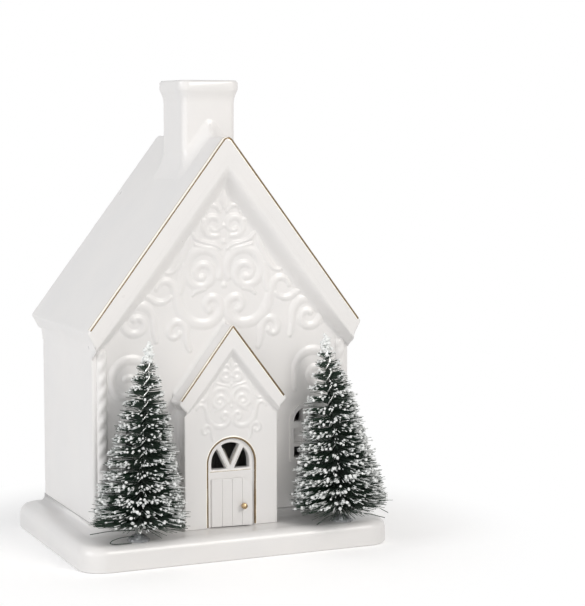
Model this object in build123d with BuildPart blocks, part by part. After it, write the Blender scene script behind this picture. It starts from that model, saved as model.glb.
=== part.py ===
from build123d import *
import os
from math import atan, cos, degrees, pi, radians, sin, sqrt, tan

# Glazed ceramic village house with two bottle-brush trees and a battery light in its base.
# Millimetres, +Z up. The porch faces -Y, and the origin is under the middle of the whole, on the table.

# Allowances
overrun = 2.0
light_clearance = 0.4
slide_clearance = 0.2
bristle_clearance = 0.8

# Base slab
base_side_margin = 12.3
base_front_margin = 25.0
base_back_margin = 12.0
base_height = 12.0
base_corner_radius = 12.0
base_edge_radius = 4.5
base_edge_bands = 3
base_heel = 0.6
recess_depth = 4.5
rim_width = 7.0
pad_height = 5.0
cove_radius = 4.0

# House walls
wall_width = 130.0
wall_depth = 80.0
wall_height = 82.3
wall_thickness = 4.0
corner_radius = 1.6

# Corner ropes on the front wall
rope_width = 5.0
rope_relief = 1.7
rope_inset = 0.6
rope_drop = 1.5

# Scroll relief: each stroke is a start, a heading and a chain of arcs, in shares of the gable's half width
scroll_width = 1.9
scroll_relief = 0.9
scroll_shares = {
    "lower": (
        (0.514, 0.389),
        98,
        [(0.066, 148), (0.523, 14), (0.194, -88), (0.129, -74), (0.071, -98), (0.048, -110)],
    ),
    "upper": ((0.037, 0.463), 118, [(0.135, -258), (0.098, -96), (0.072, -170), (0.045, -100)]),
    "side": ((0.522, 0.020), 76, [(0.615, 14), (0.114, -190), (0.086, -120), (0.052, -110)]),
    "small": ((0.268, -0.057), 68, [(0.385, 22), (0.065, -200), (0.038, -100)]),
    "crest": ((0.049, 0.762), 0, [(0.462, 5), (0.066, 195), (0.048, 150)]),
    "bract": ((0.243, 0.823), -54, [(0.154, -29), (0.400, 36), (0.069, 62)]),
    "leaf": ((0.406, 0.334), -52, [(0.100, 92), (0.185, -42), (0.200, -8)]),
}
finial_shares = (0.975, 1.115, 0.026)
porch_scroll_names = ("lower", "upper")
porch_scroll_share = 1.438
porch_scroll_section_share = 0.55
porch_scroll_drop = 12.4
gable_skipped_coils = 1
porch_skipped_coils = 3

# Main roof
roof_pitch = 52.72
roof_thickness = 7.3
eave_overhang = 3.8
gable_overhang = 6.5
ridge_radius = 3.0
eave_radius = 1.4

# Chimney
chimney_width = 27.0
chimney_depth = 28.4
chimney_rise = 24.6
chimney_forward = 8.1
chimney_edge_radius = 3.0
cap_overhang = 2.0
cap_height = 10.6
cap_rise_shares = (0.0, 0.22, 0.42, 0.6, 0.9, 1.0)
cap_reach_shares = (0.0, 0.16, 0.56, 1.0, 1.0, 0.5)
flashing_height = 3.0
flashing_lap = 0.4
flashing_lip = 0.3
flue_wall = 5.6
flue_depth = 14.0

# Porch
porch_width = 47.0
porch_projection = 9.0
porch_wall_height = 56.1
porch_front_thickness = 5.5
porch_side_thickness = 4.0
porch_roof_thickness = 5.5
porch_eave_overhang = 3.8
porch_gable_overhang = 3.0
porch_ridge_radius = 0.9
porch_passage_width = 30.0
porch_passage_height = 44.0

# Door niche, fanlight and door
niche_width = 23.0
niche_height = 42.0
niche_depth = 1.4
transom_height = 24.4
transom_depth = 3.2
fan_rim = 2.0
fan_bar_width = 2.6
fan_bar_angle = 26.0
door_width = 19.6
door_height = 22.6
door_lift = 0.6
door_hinge_thickness = 0.9
door_latch_thickness = 3.0
door_crown_radius = 6.0
plank_count = 4
plank_groove = 0.5
knob_radius = 1.7
knob_bands = 3
knob_neck_band = 1
knob_neck_radius = 0.9
knob_neck_length = 0.8
knob_height_share = 0.42
knob_place_share = 0.78

# Windows in the front wall
window_sill = 29.0
pane_width = 4.8
pane_low_height = 5.2
pane_middle_height = 7.0
pane_bar = 2.0
pane_spring_bar = 3.2
window_mullion = 4.0
window_frame = 2.0
window_frame_relief = 0.8
blind_pane_depth = 1.6

# Fired gold lines
gilding_width = 1.2
gilding_thickness = 0.3

# Bottle-brush trees
tree_setback = 8.0
tree_height = 91.0
stem_radius = 1.1
stem_sides = 8
sleeve_radius = 1.8
sleeve_sides = 6
socket_depth = 5.5
socket_clearance = 0.15
tree_foot_radius = 5.4
tree_foot_crown_radius = 3.0
tree_foot_height = 3.2
tree_foot_sides = 12
brush_start = 6.0
brush_tip_radius = 3.2
bristle_radius = 0.42
bristle_rows = 12
bristles_per_row = 10
bristle_sides = 3
bristle_row_turn_share = 0.618
left_tree_inset = 28.3
left_tree_lean_angle = 3.4
left_brush_radius = 24.0
right_tree_inset = 23.7
right_tree_lean_angle = -5.7
right_brush_radius = 26.0

# Battery light
light_offset = 13.0
box_wall = 1.5
flange_margin = 5.0
flange_thickness = 1.6
cell_radius = 5.25
cell_length = 43.3
cell_nub_radius = 1.9
cell_nub_length = 1.2
cell_gap = 0.7
contact_thickness = 0.5
contact_spring_height = 1.4
contact_height = 8.0
contact_nose_width = 2.6
contact_tab_width = 1.6
switch_length = 9.6
switch_width = 5.0
switch_height = 4.6
switch_shell = 1.0
slider_length = 4.0
slider_width = 2.6
slider_proud = 1.5
switch_travel = 2.5
cover_thickness = 1.5
cover_tongue = 1.2
cover_tongue_thickness = 0.7
rail_wall = 1.4
grip_rib_count = 4
grip_rib_depth = 0.5
grip_rib_width = 1.0
post_radius = 4.8
post_bore_radius = 3.4
post_height = 30.0
lamp_radius = 2.5
lamp_bands = 2
lamp_flange_radius = 2.9
lamp_flange_height = 1.0
lamp_body_height = 6.0
lamp_leg_width = 0.5
lamp_leg_pitch = 2.54
lamp_leg_length = 16.0
lead_radius = 0.5
lead_sides = 6
lead_bend_radius = 2.4

# Levels and planes worked out from the sizes above
base_width = wall_width + 2 * base_side_margin
base_depth = base_front_margin + wall_depth + base_back_margin
front_overhang = max(left_brush_radius, right_brush_radius, tree_setback) - tree_setback
base_middle = front_overhang / 2
house_middle = base_middle + (base_front_margin - base_back_margin) / 2
base_top = base_height
pad_top = base_top + pad_height
wall_top = pad_top + wall_height
half_wall = wall_width / 2
pitch_slope = tan(radians(roof_pitch))
roof_lift = roof_thickness / cos(radians(roof_pitch))
underside_apex = wall_top + half_wall * pitch_slope
ridge_top = underside_apex + roof_lift
eave_half = half_wall + eave_overhang
eave_level = ridge_top - eave_half * pitch_slope
house_front = house_middle - wall_depth / 2
house_back = house_middle + wall_depth / 2
roof_front = house_front - gable_overhang
roof_depth = wall_depth + 2 * gable_overhang
cap_top = ridge_top + chimney_rise
chimney_middle = house_middle - chimney_forward
half_porch = porch_width / 2
porch_front = house_front - porch_projection
porch_wall_top = base_top + porch_wall_height
porch_roof_lift = porch_roof_thickness / cos(radians(roof_pitch))
porch_underside_apex = porch_wall_top + half_porch * pitch_slope
porch_ridge = porch_underside_apex + porch_roof_lift
porch_eave_half = half_porch + porch_eave_overhang
porch_eave_level = porch_ridge - porch_eave_half * pitch_slope
porch_roof_front = porch_front - porch_gable_overhang
niche_floor = porch_front + niche_depth
transom_top = base_top + transom_height + transom_depth
tree_line = base_middle - base_depth / 2 + tree_setback
wall_stop = house_front - max(rope_relief, window_frame_relief) - bristle_clearance
slab_underside = recess_depth


def facing(y):
    """The upright plane at this y, seen from the front: its own x and y are the house's x and z."""
    return Plane.XZ.offset(-y)


def gable_points(half, foot, shoulder, apex):
    """The five corners of a gabled wall."""
    return [(-half, foot), (half, foot), (half, shoulder), (0, apex), (-half, shoulder)]


def chevron_points(half, tip, inner_half, inner_tip, apex, inner_apex):
    """The six corners of a pitched roof's end, from the outer ridge round to the inner one."""
    right = [(half, tip), (inner_half, inner_tip)]
    left = [(-x, z) for x, z in reversed(right)]
    return [(0, apex), *right, (0, inner_apex), *left]


def arch_outline(half, foot, spring):
    """A round-headed outline on the current sketch line: two jambs, a sill and a half circle."""
    Polyline((-half, spring), (-half, foot), (half, foot), (half, spring))
    RadiusArc((-half, spring), (half, spring), half)


def save(part, name):
    """Names a finished piece and writes it."""
    part.label = name
    export_step(part, f"parts/{name}.step")


os.makedirs("parts", exist_ok=True)

# Light unit layout, from the cells outward
cell_pitch = 2 * cell_radius + cell_gap
bay_length = cell_length + cell_nub_length + 2 * contact_thickness + contact_spring_height
bay_width = cell_pitch + 2 * cell_radius + cell_gap
switch_bay_length = switch_length + 2 * light_clearance
box_length = bay_length + switch_bay_length + 3 * box_wall
box_width = bay_width + 2 * box_wall
flange_bottom = slab_underside - flange_thickness
cell_level = flange_bottom + cell_gap / 2 + cell_radius
bay_ceiling = cell_level + cell_radius + cell_gap
box_top = bay_ceiling + box_wall
light_middle = house_middle
box_left = light_offset - box_length / 2
bay_left = box_left + box_wall
bay_right = bay_left + bay_length
bay_middle = (bay_left + bay_right) / 2
switch_left = bay_right + box_wall
switch_middle = switch_left + switch_bay_length / 2
flange_length = box_length + 2 * flange_margin
flange_width = box_width + 2 * flange_margin
opening_length = box_length + 2 * light_clearance
opening_width = box_width + 2 * light_clearance
lead_level = bay_ceiling - cell_gap - lead_radius
contact_inner = lamp_leg_pitch / 2 + 2 * lead_radius
tab_low = lamp_leg_pitch / 2 - lead_radius
tab_high = contact_inner + contact_tab_width
tab_middle = (tab_low + tab_high) / 2
tail_level = slab_underside + switch_height / 2

# Tree planes: each stands on the base, leaning a little towards the porch
tree_planes = {}
for side, place, lean in (
    ("left", left_tree_inset - base_width / 2, left_tree_lean_angle),
    ("right", base_width / 2 - right_tree_inset, right_tree_lean_angle),
):
    tree_planes[side] = Plane(
        origin=(place, tree_line, base_top),
        x_dir=(cos(radians(lean)), 0, -sin(radians(lean))),
        z_dir=(sin(radians(lean)), 0, cos(radians(lean))),
    )

# Base: a round-edged slab with a raised pad that coves up to the walls, and a recess underneath
with BuildPart() as base:
    with BuildSketch():
        with Locations((0, base_middle)):
            RectangleRounded(base_width, base_depth, base_corner_radius)
    extrude(amount=base_height - base_edge_radius)
    chamfer(base.faces().sort_by(Axis.Z)[0].edges(), base_heel)
    for band in range(base_edge_bands):
        for turn in (band, band + 1):
            edge_angle = pi / 2 * turn / base_edge_bands
            inset = base_edge_radius * (1 - cos(edge_angle))
            level = base_height - base_edge_radius * (1 - sin(edge_angle))
            corner = base_corner_radius - inset
            with BuildSketch(Plane.XY.offset(level)):
                with Locations((0, base_middle)):
                    RectangleRounded(base_width - 2 * inset, base_depth - 2 * inset, corner)
        loft(ruled=True)
    with BuildSketch(Plane.XY.offset(base_top)):
        with Locations((0, house_middle)):
            Rectangle(wall_width, wall_depth)
    extrude(amount=pad_height)
    pad_foot = base.edges().filter_by(
        lambda e: abs(e.center().Z - base_top) < base_heel / 2
        and abs(e.center().X) <= half_wall + base_heel / 2
        and house_front - base_heel / 2 < e.center().Y < house_back + base_heel / 2
    )
    fillet(pad_foot, cove_radius)
    with BuildSketch():
        with Locations((0, base_middle)):
            RectangleRounded(
                base_width - 2 * rim_width, base_depth - 2 * rim_width, base_corner_radius - rim_width / 2
            )
    extrude(amount=recess_depth, mode=Mode.SUBTRACT)
    with BuildSketch(Plane.XY.offset(slab_underside)):
        with Locations((light_offset, light_middle)):
            Rectangle(opening_length, opening_width)
    extrude(amount=pad_top - slab_underside + overrun, mode=Mode.SUBTRACT)
    for plane in tree_planes.values():
        with BuildSketch(plane.offset(-socket_depth)):
            Circle(stem_radius + socket_clearance)
        extrude(amount=socket_depth + overrun, mode=Mode.SUBTRACT)
save(base.part, "base")

# House walls: a gabled shell, open below and under the roof, pierced for two windows and the porch passage
rope_axis = half_wall - corner_radius - rope_inset - rope_width / 2
window_offset = (porch_eave_half + rope_axis - rope_width / 2) / 2
window_spring = window_sill + base_top + pane_low_height + pane_middle_height + pane_bar + pane_spring_bar
pane_inner = window_mullion / 2
pane_outer = pane_inner + pane_width
pane_rows = [
    (base_top + window_sill, pane_low_height),
    (base_top + window_sill + pane_low_height + pane_bar, pane_middle_height),
]
with BuildPart() as walls:
    with BuildSketch(facing(house_front)):
        with BuildLine():
            Polyline(*gable_points(half_wall, pad_top, wall_top, underside_apex), close=True)
        make_face()
    extrude(amount=-wall_depth)
    fillet(walls.edges().filter_by(Axis.Z), corner_radius)
    with BuildSketch(Plane.XY.offset(pad_top)):
        with Locations((0, house_middle)):
            Rectangle(wall_width - 2 * wall_thickness, wall_depth - 2 * wall_thickness)
    extrude(amount=underside_apex - pad_top + overrun, mode=Mode.SUBTRACT)
    for hand in (-1, 1):
        window_plane = Plane(origin=(hand * window_offset, house_front, 0), x_dir=(1, 0, 0), z_dir=(0, -1, 0))
        with BuildSketch(window_plane):
            with BuildLine():
                arch_outline(pane_outer + window_frame, base_top + window_sill - window_frame, window_spring)
            make_face()
        extrude(amount=window_frame_relief)
        for column in (-1, 1):
            column_middle = column * (pane_inner + pane_width / 2)
            inner_column = column == -hand
            for row, (row_foot, row_height) in enumerate(pane_rows):
                blind = inner_column and row == 1
                with BuildSketch(window_plane.offset(window_frame_relief)):
                    with Locations((column_middle, row_foot + row_height / 2)):
                        Rectangle(pane_width, row_height)
                depth = blind_pane_depth if blind else wall_thickness + window_frame_relief + overrun
                extrude(amount=-depth, mode=Mode.SUBTRACT)
            with BuildSketch(window_plane.offset(window_frame_relief)):
                with BuildLine():
                    arch_rise = sqrt(pane_outer**2 - pane_inner**2)
                    Polyline(
                        (column * pane_inner, window_spring + arch_rise),
                        (column * pane_inner, window_spring),
                        (column * pane_outer, window_spring),
                    )
                    RadiusArc(
                        (column * pane_outer, window_spring),
                        (column * pane_inner, window_spring + arch_rise),
                        -column * pane_outer,
                    )
                make_face()
            extrude(amount=-(wall_thickness + window_frame_relief + overrun), mode=Mode.SUBTRACT)
    with BuildSketch(facing(house_front - overrun)):
        with BuildLine():
            arch_outline(porch_passage_width / 2, pad_top - overrun, base_top + porch_passage_height)
        make_face()
    extrude(amount=-(wall_thickness + 2 * overrun), mode=Mode.SUBTRACT)
save(walls.part, "house_walls")

# Corner ropes: a half-round strip up each front corner
with BuildPart() as ropes:
    for axis in (-rope_axis, rope_axis):
        with BuildSketch(Plane.XY.offset(pad_top)):
            with BuildLine():
                Line((axis - rope_width / 2, house_front), (axis + rope_width / 2, house_front))
                ThreePointArc(
                    (axis - rope_width / 2, house_front),
                    (axis, house_front - rope_relief),
                    (axis + rope_width / 2, house_front),
                )
            make_face()
    extrude(amount=wall_height - rope_drop)
save(ropes.part, "corner_ropes")


def scrollwork(front, foot, unit, strokes, width, height, skipped_coils):
    """Mirrored scroll ridges and a leaf finial, standing out from the wall at this front."""
    with BuildPart() as relief:
        for stroke in strokes:
            (start_x, start_z), heading, arcs = scroll_shares[stroke]
            for hand in (-1, 1):
                way = Vector(hand * cos(radians(heading)), 0, sin(radians(heading)))
                with BuildLine(facing(front)) as path:
                    point = (hand * start_x * unit, foot + start_z * unit)
                    for radius, turn in arcs[: len(arcs) - skipped_coils]:
                        arc = JernArc(point, way, radius * unit, hand * turn)
                        point = arc @ 1
                        way = arc % 1
                with BuildSketch(Plane(origin=path.line @ 0, x_dir=(0, -1, 0), z_dir=path.line % 0)):
                    with BuildLine():
                        Polyline((0, -width / 2), (0, width / 2), (height, 0), close=True)
                    make_face()
                sweep(path=path.line)
        finial_foot, finial_tip, finial_half = finial_shares
        with BuildSketch(facing(front)):
            with BuildLine():
                leaf_foot = (0, foot + finial_foot * unit)
                leaf_tip = (0, foot + finial_tip * unit)
                leaf_middle = foot + (finial_foot + finial_tip) * unit / 2
                ThreePointArc(leaf_foot, (finial_half * unit, leaf_middle), leaf_tip)
                ThreePointArc(leaf_tip, (-finial_half * unit, leaf_middle), leaf_foot)
            make_face()
        extrude(amount=height)
    return relief.part


# Scrollwork: moulded ridges on the two gables
gable_scrolls = scrollwork(
    house_front,
    wall_top,
    half_wall,
    scroll_shares,
    scroll_width,
    scroll_relief,
    gable_skipped_coils,
)
save(gable_scrolls, "gable_scrolls")
porch_scrolls = scrollwork(
    porch_front,
    porch_wall_top - porch_scroll_drop,
    half_porch * porch_scroll_share,
    porch_scroll_names,
    scroll_width * porch_scroll_section_share,
    scroll_relief * porch_scroll_section_share,
    porch_skipped_coils,
)
save(porch_scrolls, "porch_scrolls")

# Roof: a pitched shell with slanting eaves and a blunt ridge
with BuildPart() as roof:
    with BuildSketch(facing(roof_front)):
        with BuildLine():
            roof_end = chevron_points(eave_half, eave_level, half_wall, wall_top, ridge_top, underside_apex)
            Polyline(*roof_end, close=True)
        make_face()
    extrude(amount=-roof_depth)
    long_edges = roof.edges().filter_by(Axis.Y)
    fillet(long_edges.sort_by(Axis.Z)[-1], ridge_radius)
    fillet(roof.edges().filter_by(Axis.Y).group_by(Axis.X)[0], eave_radius)
    fillet(roof.edges().filter_by(Axis.Y).group_by(Axis.X)[-1], eave_radius)
save(roof.part, "roof")

# Chimney: a shaft astride the ridge with a flared cap, a flue, and a sloping flashing before and behind
flashing_half = chimney_width / 2 + flashing_lap
flashing_foot = ridge_top - flashing_half * pitch_slope
flashing_lift = flashing_height / cos(radians(roof_pitch))
rake_slant = sin(radians(roof_pitch)) * cos(radians(roof_pitch)) / 2
cap_foot = cap_top - cap_height
cap_width = chimney_width + 2 * cap_overhang
cap_depth = chimney_depth + 2 * cap_overhang
cap_steps = list(zip(cap_rise_shares, cap_reach_shares))
with BuildPart() as chimney:
    with BuildSketch(Plane.XY.offset(flashing_foot)):
        with Locations((0, chimney_middle)):
            RectangleRounded(chimney_width, chimney_depth, chimney_edge_radius)
    extrude(amount=cap_foot - flashing_foot)
    for (rise_share, reach_share), (next_rise_share, next_reach_share) in zip(cap_steps, cap_steps[1:]):
        reach = cap_overhang * reach_share
        band_height = cap_height * (next_rise_share - rise_share)
        flare = cap_overhang * (next_reach_share - reach_share)
        corner = chimney_edge_radius + reach
        with BuildSketch(Plane.XY.offset(cap_foot + cap_height * rise_share)):
            with Locations((0, chimney_middle)):
                RectangleRounded(chimney_width + 2 * reach, chimney_depth + 2 * reach, corner)
        extrude(amount=band_height, taper=-degrees(atan(flare / band_height)))
    with BuildSketch(Plane.XY.offset(cap_top)):
        with Locations((0, chimney_middle)):
            Rectangle(cap_width - 2 * flue_wall, cap_depth - 2 * flue_wall)
    extrude(amount=-flue_depth, mode=Mode.SUBTRACT)
    with BuildPart(mode=Mode.PRIVATE) as flashing:
        with BuildSketch(facing(chimney_middle - chimney_depth / 2 - flashing_height)):
            with BuildLine():
                Polyline(
                    *gable_points(
                        flashing_half,
                        flashing_foot,
                        flashing_foot + flashing_lift,
                        ridge_top + flashing_lift,
                    ),
                    close=True,
                )
            make_face()
        extrude(amount=-(chimney_depth + 2 * flashing_height))
        rakes = flashing.edges().filter_by(lambda e: abs(e.tangent_at(0).X * e.tangent_at(0).Z) > rake_slant)
        chamfer(rakes, flashing_height - flashing_lip)
    add(flashing.part)
    with BuildSketch(facing(chimney_middle - chimney_depth)):
        with BuildLine():
            Polyline((0, underside_apex), (half_wall, wall_top), (-half_wall, wall_top), close=True)
        make_face()
    extrude(amount=-2 * chimney_depth, mode=Mode.SUBTRACT)
    add(roof.part, mode=Mode.SUBTRACT)
save(chimney.part, "chimney")

# Porch walls: a gabled front on two short cheeks, with the door niche and the pierced fanlight
niche_half = niche_width / 2
niche_spring = base_top + niche_height - niche_half
fan_half = niche_half - fan_rim
with BuildPart() as porch_walls:
    with BuildSketch(facing(porch_front)):
        with BuildLine():
            Polyline(*gable_points(half_porch, base_top, porch_wall_top, porch_underside_apex), close=True)
        make_face()
    extrude(amount=-porch_projection)
    with BuildSketch(Plane.XY.offset(base_top)):
        with Locations((0, porch_front + porch_front_thickness + porch_projection / 2)):
            Rectangle(porch_width - 2 * porch_side_thickness, porch_projection)
    extrude(amount=porch_underside_apex - base_top + overrun, mode=Mode.SUBTRACT)
    with BuildSketch(facing(porch_front - overrun)):
        with BuildLine():
            arch_outline(niche_half, base_top, niche_spring)
        make_face()
    extrude(amount=-(niche_depth + overrun), mode=Mode.SUBTRACT)
    with BuildSketch(facing(niche_floor)):
        with BuildLine():
            arch_outline(fan_half, transom_top, niche_spring)
        make_face()
        for lean in (-fan_bar_angle, fan_bar_angle):
            with Locations(Location((0, transom_top - fan_rim / 2), lean)):
                Rectangle(fan_bar_width, 2 * niche_width, mode=Mode.SUBTRACT)
    extrude(amount=-(porch_front_thickness + overrun), mode=Mode.SUBTRACT)
    add(base.part, mode=Mode.SUBTRACT)
save(porch_walls.part, "porch_walls")

# Porch roof: a small pitched roof that butts against the front wall
with BuildPart() as porch_roof:
    with BuildSketch(facing(porch_roof_front)):
        with BuildLine():
            porch_end = chevron_points(
                porch_eave_half,
                porch_eave_level,
                half_porch,
                porch_wall_top,
                porch_ridge,
                porch_underside_apex,
            )
            Polyline(*porch_end, close=True)
        make_face()
    extrude(amount=-(porch_projection + porch_gable_overhang))
    fillet(porch_roof.edges().filter_by(Axis.Y).sort_by(Axis.Z)[-1], porch_ridge_radius)
    fillet(porch_roof.edges().filter_by(Axis.Y).group_by(Axis.X)[0], eave_radius)
    fillet(porch_roof.edges().filter_by(Axis.Y).group_by(Axis.X)[-1], eave_radius)
save(porch_roof.part, "porch_roof")

# Door: a planked leaf with a rounded corner, standing a little ajar in the niche
door_foot = base_top + door_lift
door_left = -door_width / 2
door_slope = (door_latch_thickness - door_hinge_thickness) / door_width
with BuildPart() as door:
    with BuildSketch(Plane.XY.offset(door_foot)):
        with BuildLine():
            Polyline(
                (door_left, niche_floor),
                (-door_left, niche_floor),
                (-door_left, niche_floor - door_latch_thickness),
                (door_left, niche_floor - door_hinge_thickness),
                close=True,
            )
        make_face()
    extrude(amount=door_height)
    latch_corner = door.edges().filter_by(Axis.Y).group_by(Axis.Z)[-1].sort_by(Axis.X)[-1]
    fillet(latch_corner, door_crown_radius)
    for plank in range(1, plank_count):
        groove_place = door_left + door_width * plank / plank_count
        face_place = niche_floor - door_hinge_thickness - door_slope * (groove_place - door_left)
        with BuildSketch(Plane.XY.offset(door_foot)):
            with Locations((groove_place, face_place)):
                Rectangle(plank_groove, plank_groove)
        extrude(amount=door_height, mode=Mode.SUBTRACT)
save(door.part, "door")

# Door knob: a turned knob on the leaf's face
knob_x = door_left + door_width * knob_place_share
knob_plane = Plane(
    origin=(knob_x, niche_floor - door_hinge_thickness - door_slope * (knob_x - door_left), door_foot)
    + Vector(0, 0, door_height * knob_height_share),
    x_dir=(0, 0, 1),
    z_dir=(-door_slope, -1, 0),
)
knob_middle = knob_neck_length + knob_radius * cos(knob_neck_band * pi / knob_bands)
knob_angles = [step * pi / knob_bands for step in range(knob_neck_band, knob_bands)]
with BuildPart() as knob:
    with BuildSketch(Plane(origin=knob_plane.origin, x_dir=knob_plane.y_dir, z_dir=knob_plane.x_dir)):
        with BuildLine():
            Polyline(
                (0, 0),
                (knob_neck_radius, 0),
                (knob_neck_radius, knob_neck_length),
                *[(knob_radius * sin(a), knob_middle - knob_radius * cos(a)) for a in knob_angles],
                (0, knob_middle + knob_radius),
                close=True,
            )
        make_face()
    revolve(axis=Axis(knob_plane.origin, knob_plane.z_dir))
save(knob.part, "door_knob")

# Gold lines: along the roof's front edge, the porch's front edge, and round the door niche
gilding_lift = gilding_width / cos(radians(roof_pitch))


def rake_gilding(front, apex, half):
    """A chevron line of gold on a roof's front face, just under its outer edge."""
    tip = apex - half * pitch_slope
    with BuildPart() as line:
        with BuildSketch(facing(front)):
            with BuildLine():
                Polyline(
                    (0, apex),
                    (half, tip),
                    (half, tip - gilding_lift),
                    (0, apex - gilding_lift),
                    (-half, tip - gilding_lift),
                    (-half, tip),
                    close=True,
                )
            make_face()
        extrude(amount=gilding_thickness)
    return line.part


ridge_blunt = ridge_radius * (1 / cos(radians(roof_pitch)) - 1)
porch_blunt = porch_ridge_radius * (1 / cos(radians(roof_pitch)) - 1)
gilded_half = eave_half - 2 * eave_radius
porch_gilded_half = porch_eave_half - 2 * eave_radius
save(rake_gilding(roof_front, ridge_top - ridge_blunt, gilded_half), "roof_gilding")
save(rake_gilding(porch_roof_front, porch_ridge - porch_blunt, porch_gilded_half), "porch_gilding")
with BuildPart() as door_gilding:
    with BuildSketch(facing(porch_front)):
        with BuildLine():
            arch_outline(niche_half + gilding_width, base_top + door_lift, niche_spring)
        make_face()
        with BuildLine():
            arch_outline(niche_half, base_top - overrun, niche_spring)
        make_face(mode=Mode.SUBTRACT)
    extrude(amount=gilding_thickness)
    with BuildSketch(facing(niche_floor)):
        with Locations((0, transom_top - transom_depth / 2)):
            Rectangle(niche_width, gilding_width)
        for lean in (-fan_bar_angle, fan_bar_angle):
            bar_length = niche_half + fan_rim
            with Locations(Location((0, transom_top - transom_depth / 2), lean)):
                Rectangle(gilding_width, bar_length, align=(Align.CENTER, Align.MIN))
    extrude(amount=gilding_thickness)
save(door_gilding.part, "door_gilding")


def bristle_reach(plane, level, angle, cone_radius):
    """How far a bristle runs before the cone, the base's side, the front wall or the porch stops it."""
    start = plane.from_local_coords(Vector(0, 0, level))
    way = plane.x_dir * cos(angle) + plane.y_dir * sin(angle)
    reach = cone_radius
    if start.X * way.X > 0:
        reach = min(reach, (base_width / 2 - bristle_radius - abs(start.X)) / abs(way.X))
    if way.Y > 0:
        reach = min(reach, (wall_stop - start.Y) / way.Y)
    toward_porch = -start.X * way.X > 0
    if toward_porch:
        side_gap = abs(start.X) - porch_eave_half - bristle_clearance
        to_side = side_gap / abs(way.X)
        to_front = (porch_roof_front - bristle_clearance - start.Y) / way.Y if way.Y > 0 else reach
        reach = min(reach, max(to_side, to_front))
    return reach


def tree_bristles(plane, brush_radius):
    """The fibres of one tree in level rows, each row turned against the one below it."""
    fibres = []
    root = (stem_radius + sleeve_radius * cos(pi / sleeve_sides)) / 2
    row_step = (tree_height - brush_start - bristle_radius) / bristle_rows
    for row in range(bristle_rows):
        level = brush_start + row_step * (row + 1 / 2)
        cone_radius = brush_radius + (brush_tip_radius - brush_radius) * row / (bristle_rows - 1)
        for count in range(bristles_per_row):
            angle = 2 * pi * (count + row * bristle_row_turn_share) / bristles_per_row - pi / 2
            start = plane.from_local_coords(Vector(root * cos(angle), root * sin(angle), level))
            way = plane.x_dir * cos(angle) + plane.y_dir * sin(angle)
            length = bristle_reach(plane, level, angle, cone_radius) - root
            fibre_plane = Plane(origin=start, x_dir=plane.z_dir, z_dir=way)
            fibres.append(extrude(fibre_plane * RegularPolygon(bristle_radius, bristle_sides), amount=length))
    return fibres


# Trees: a wire stem in its socket, a foot of clear glue, and a brush of fibres on a sleeve of the stem
foot_inset = (tree_foot_radius - tree_foot_crown_radius) * cos(pi / tree_foot_sides)
for side, brush_radius in (("left", left_brush_radius), ("right", right_brush_radius)):
    tree_plane = tree_planes[side]
    with BuildPart() as stem:
        with BuildSketch(tree_plane.offset(-socket_depth)):
            RegularPolygon(stem_radius, stem_sides)
        extrude(amount=socket_depth + tree_height)
    save(stem.part, f"{side}_tree_stem")

    with BuildPart() as tree_foot:
        with BuildSketch(Plane.XY.offset(base_top)):
            with Locations((tree_plane.origin.X, tree_plane.origin.Y)):
                RegularPolygon(tree_foot_radius, tree_foot_sides)
        extrude(amount=tree_foot_height, taper=degrees(atan(foot_inset / tree_foot_height)))
        add(stem.part, mode=Mode.SUBTRACT)
    save(tree_foot.part, f"{side}_tree_foot")

    fibres = tree_bristles(tree_plane, brush_radius)
    with BuildPart() as brush:
        with BuildSketch(tree_plane.offset(brush_start)):
            RegularPolygon(sleeve_radius, sleeve_sides)
            RegularPolygon(stem_radius, stem_sides, mode=Mode.SUBTRACT)
        extrude(amount=tree_height - brush_start)
        add(fibres)
    save(brush.part, f"{side}_tree_brush")

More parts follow.
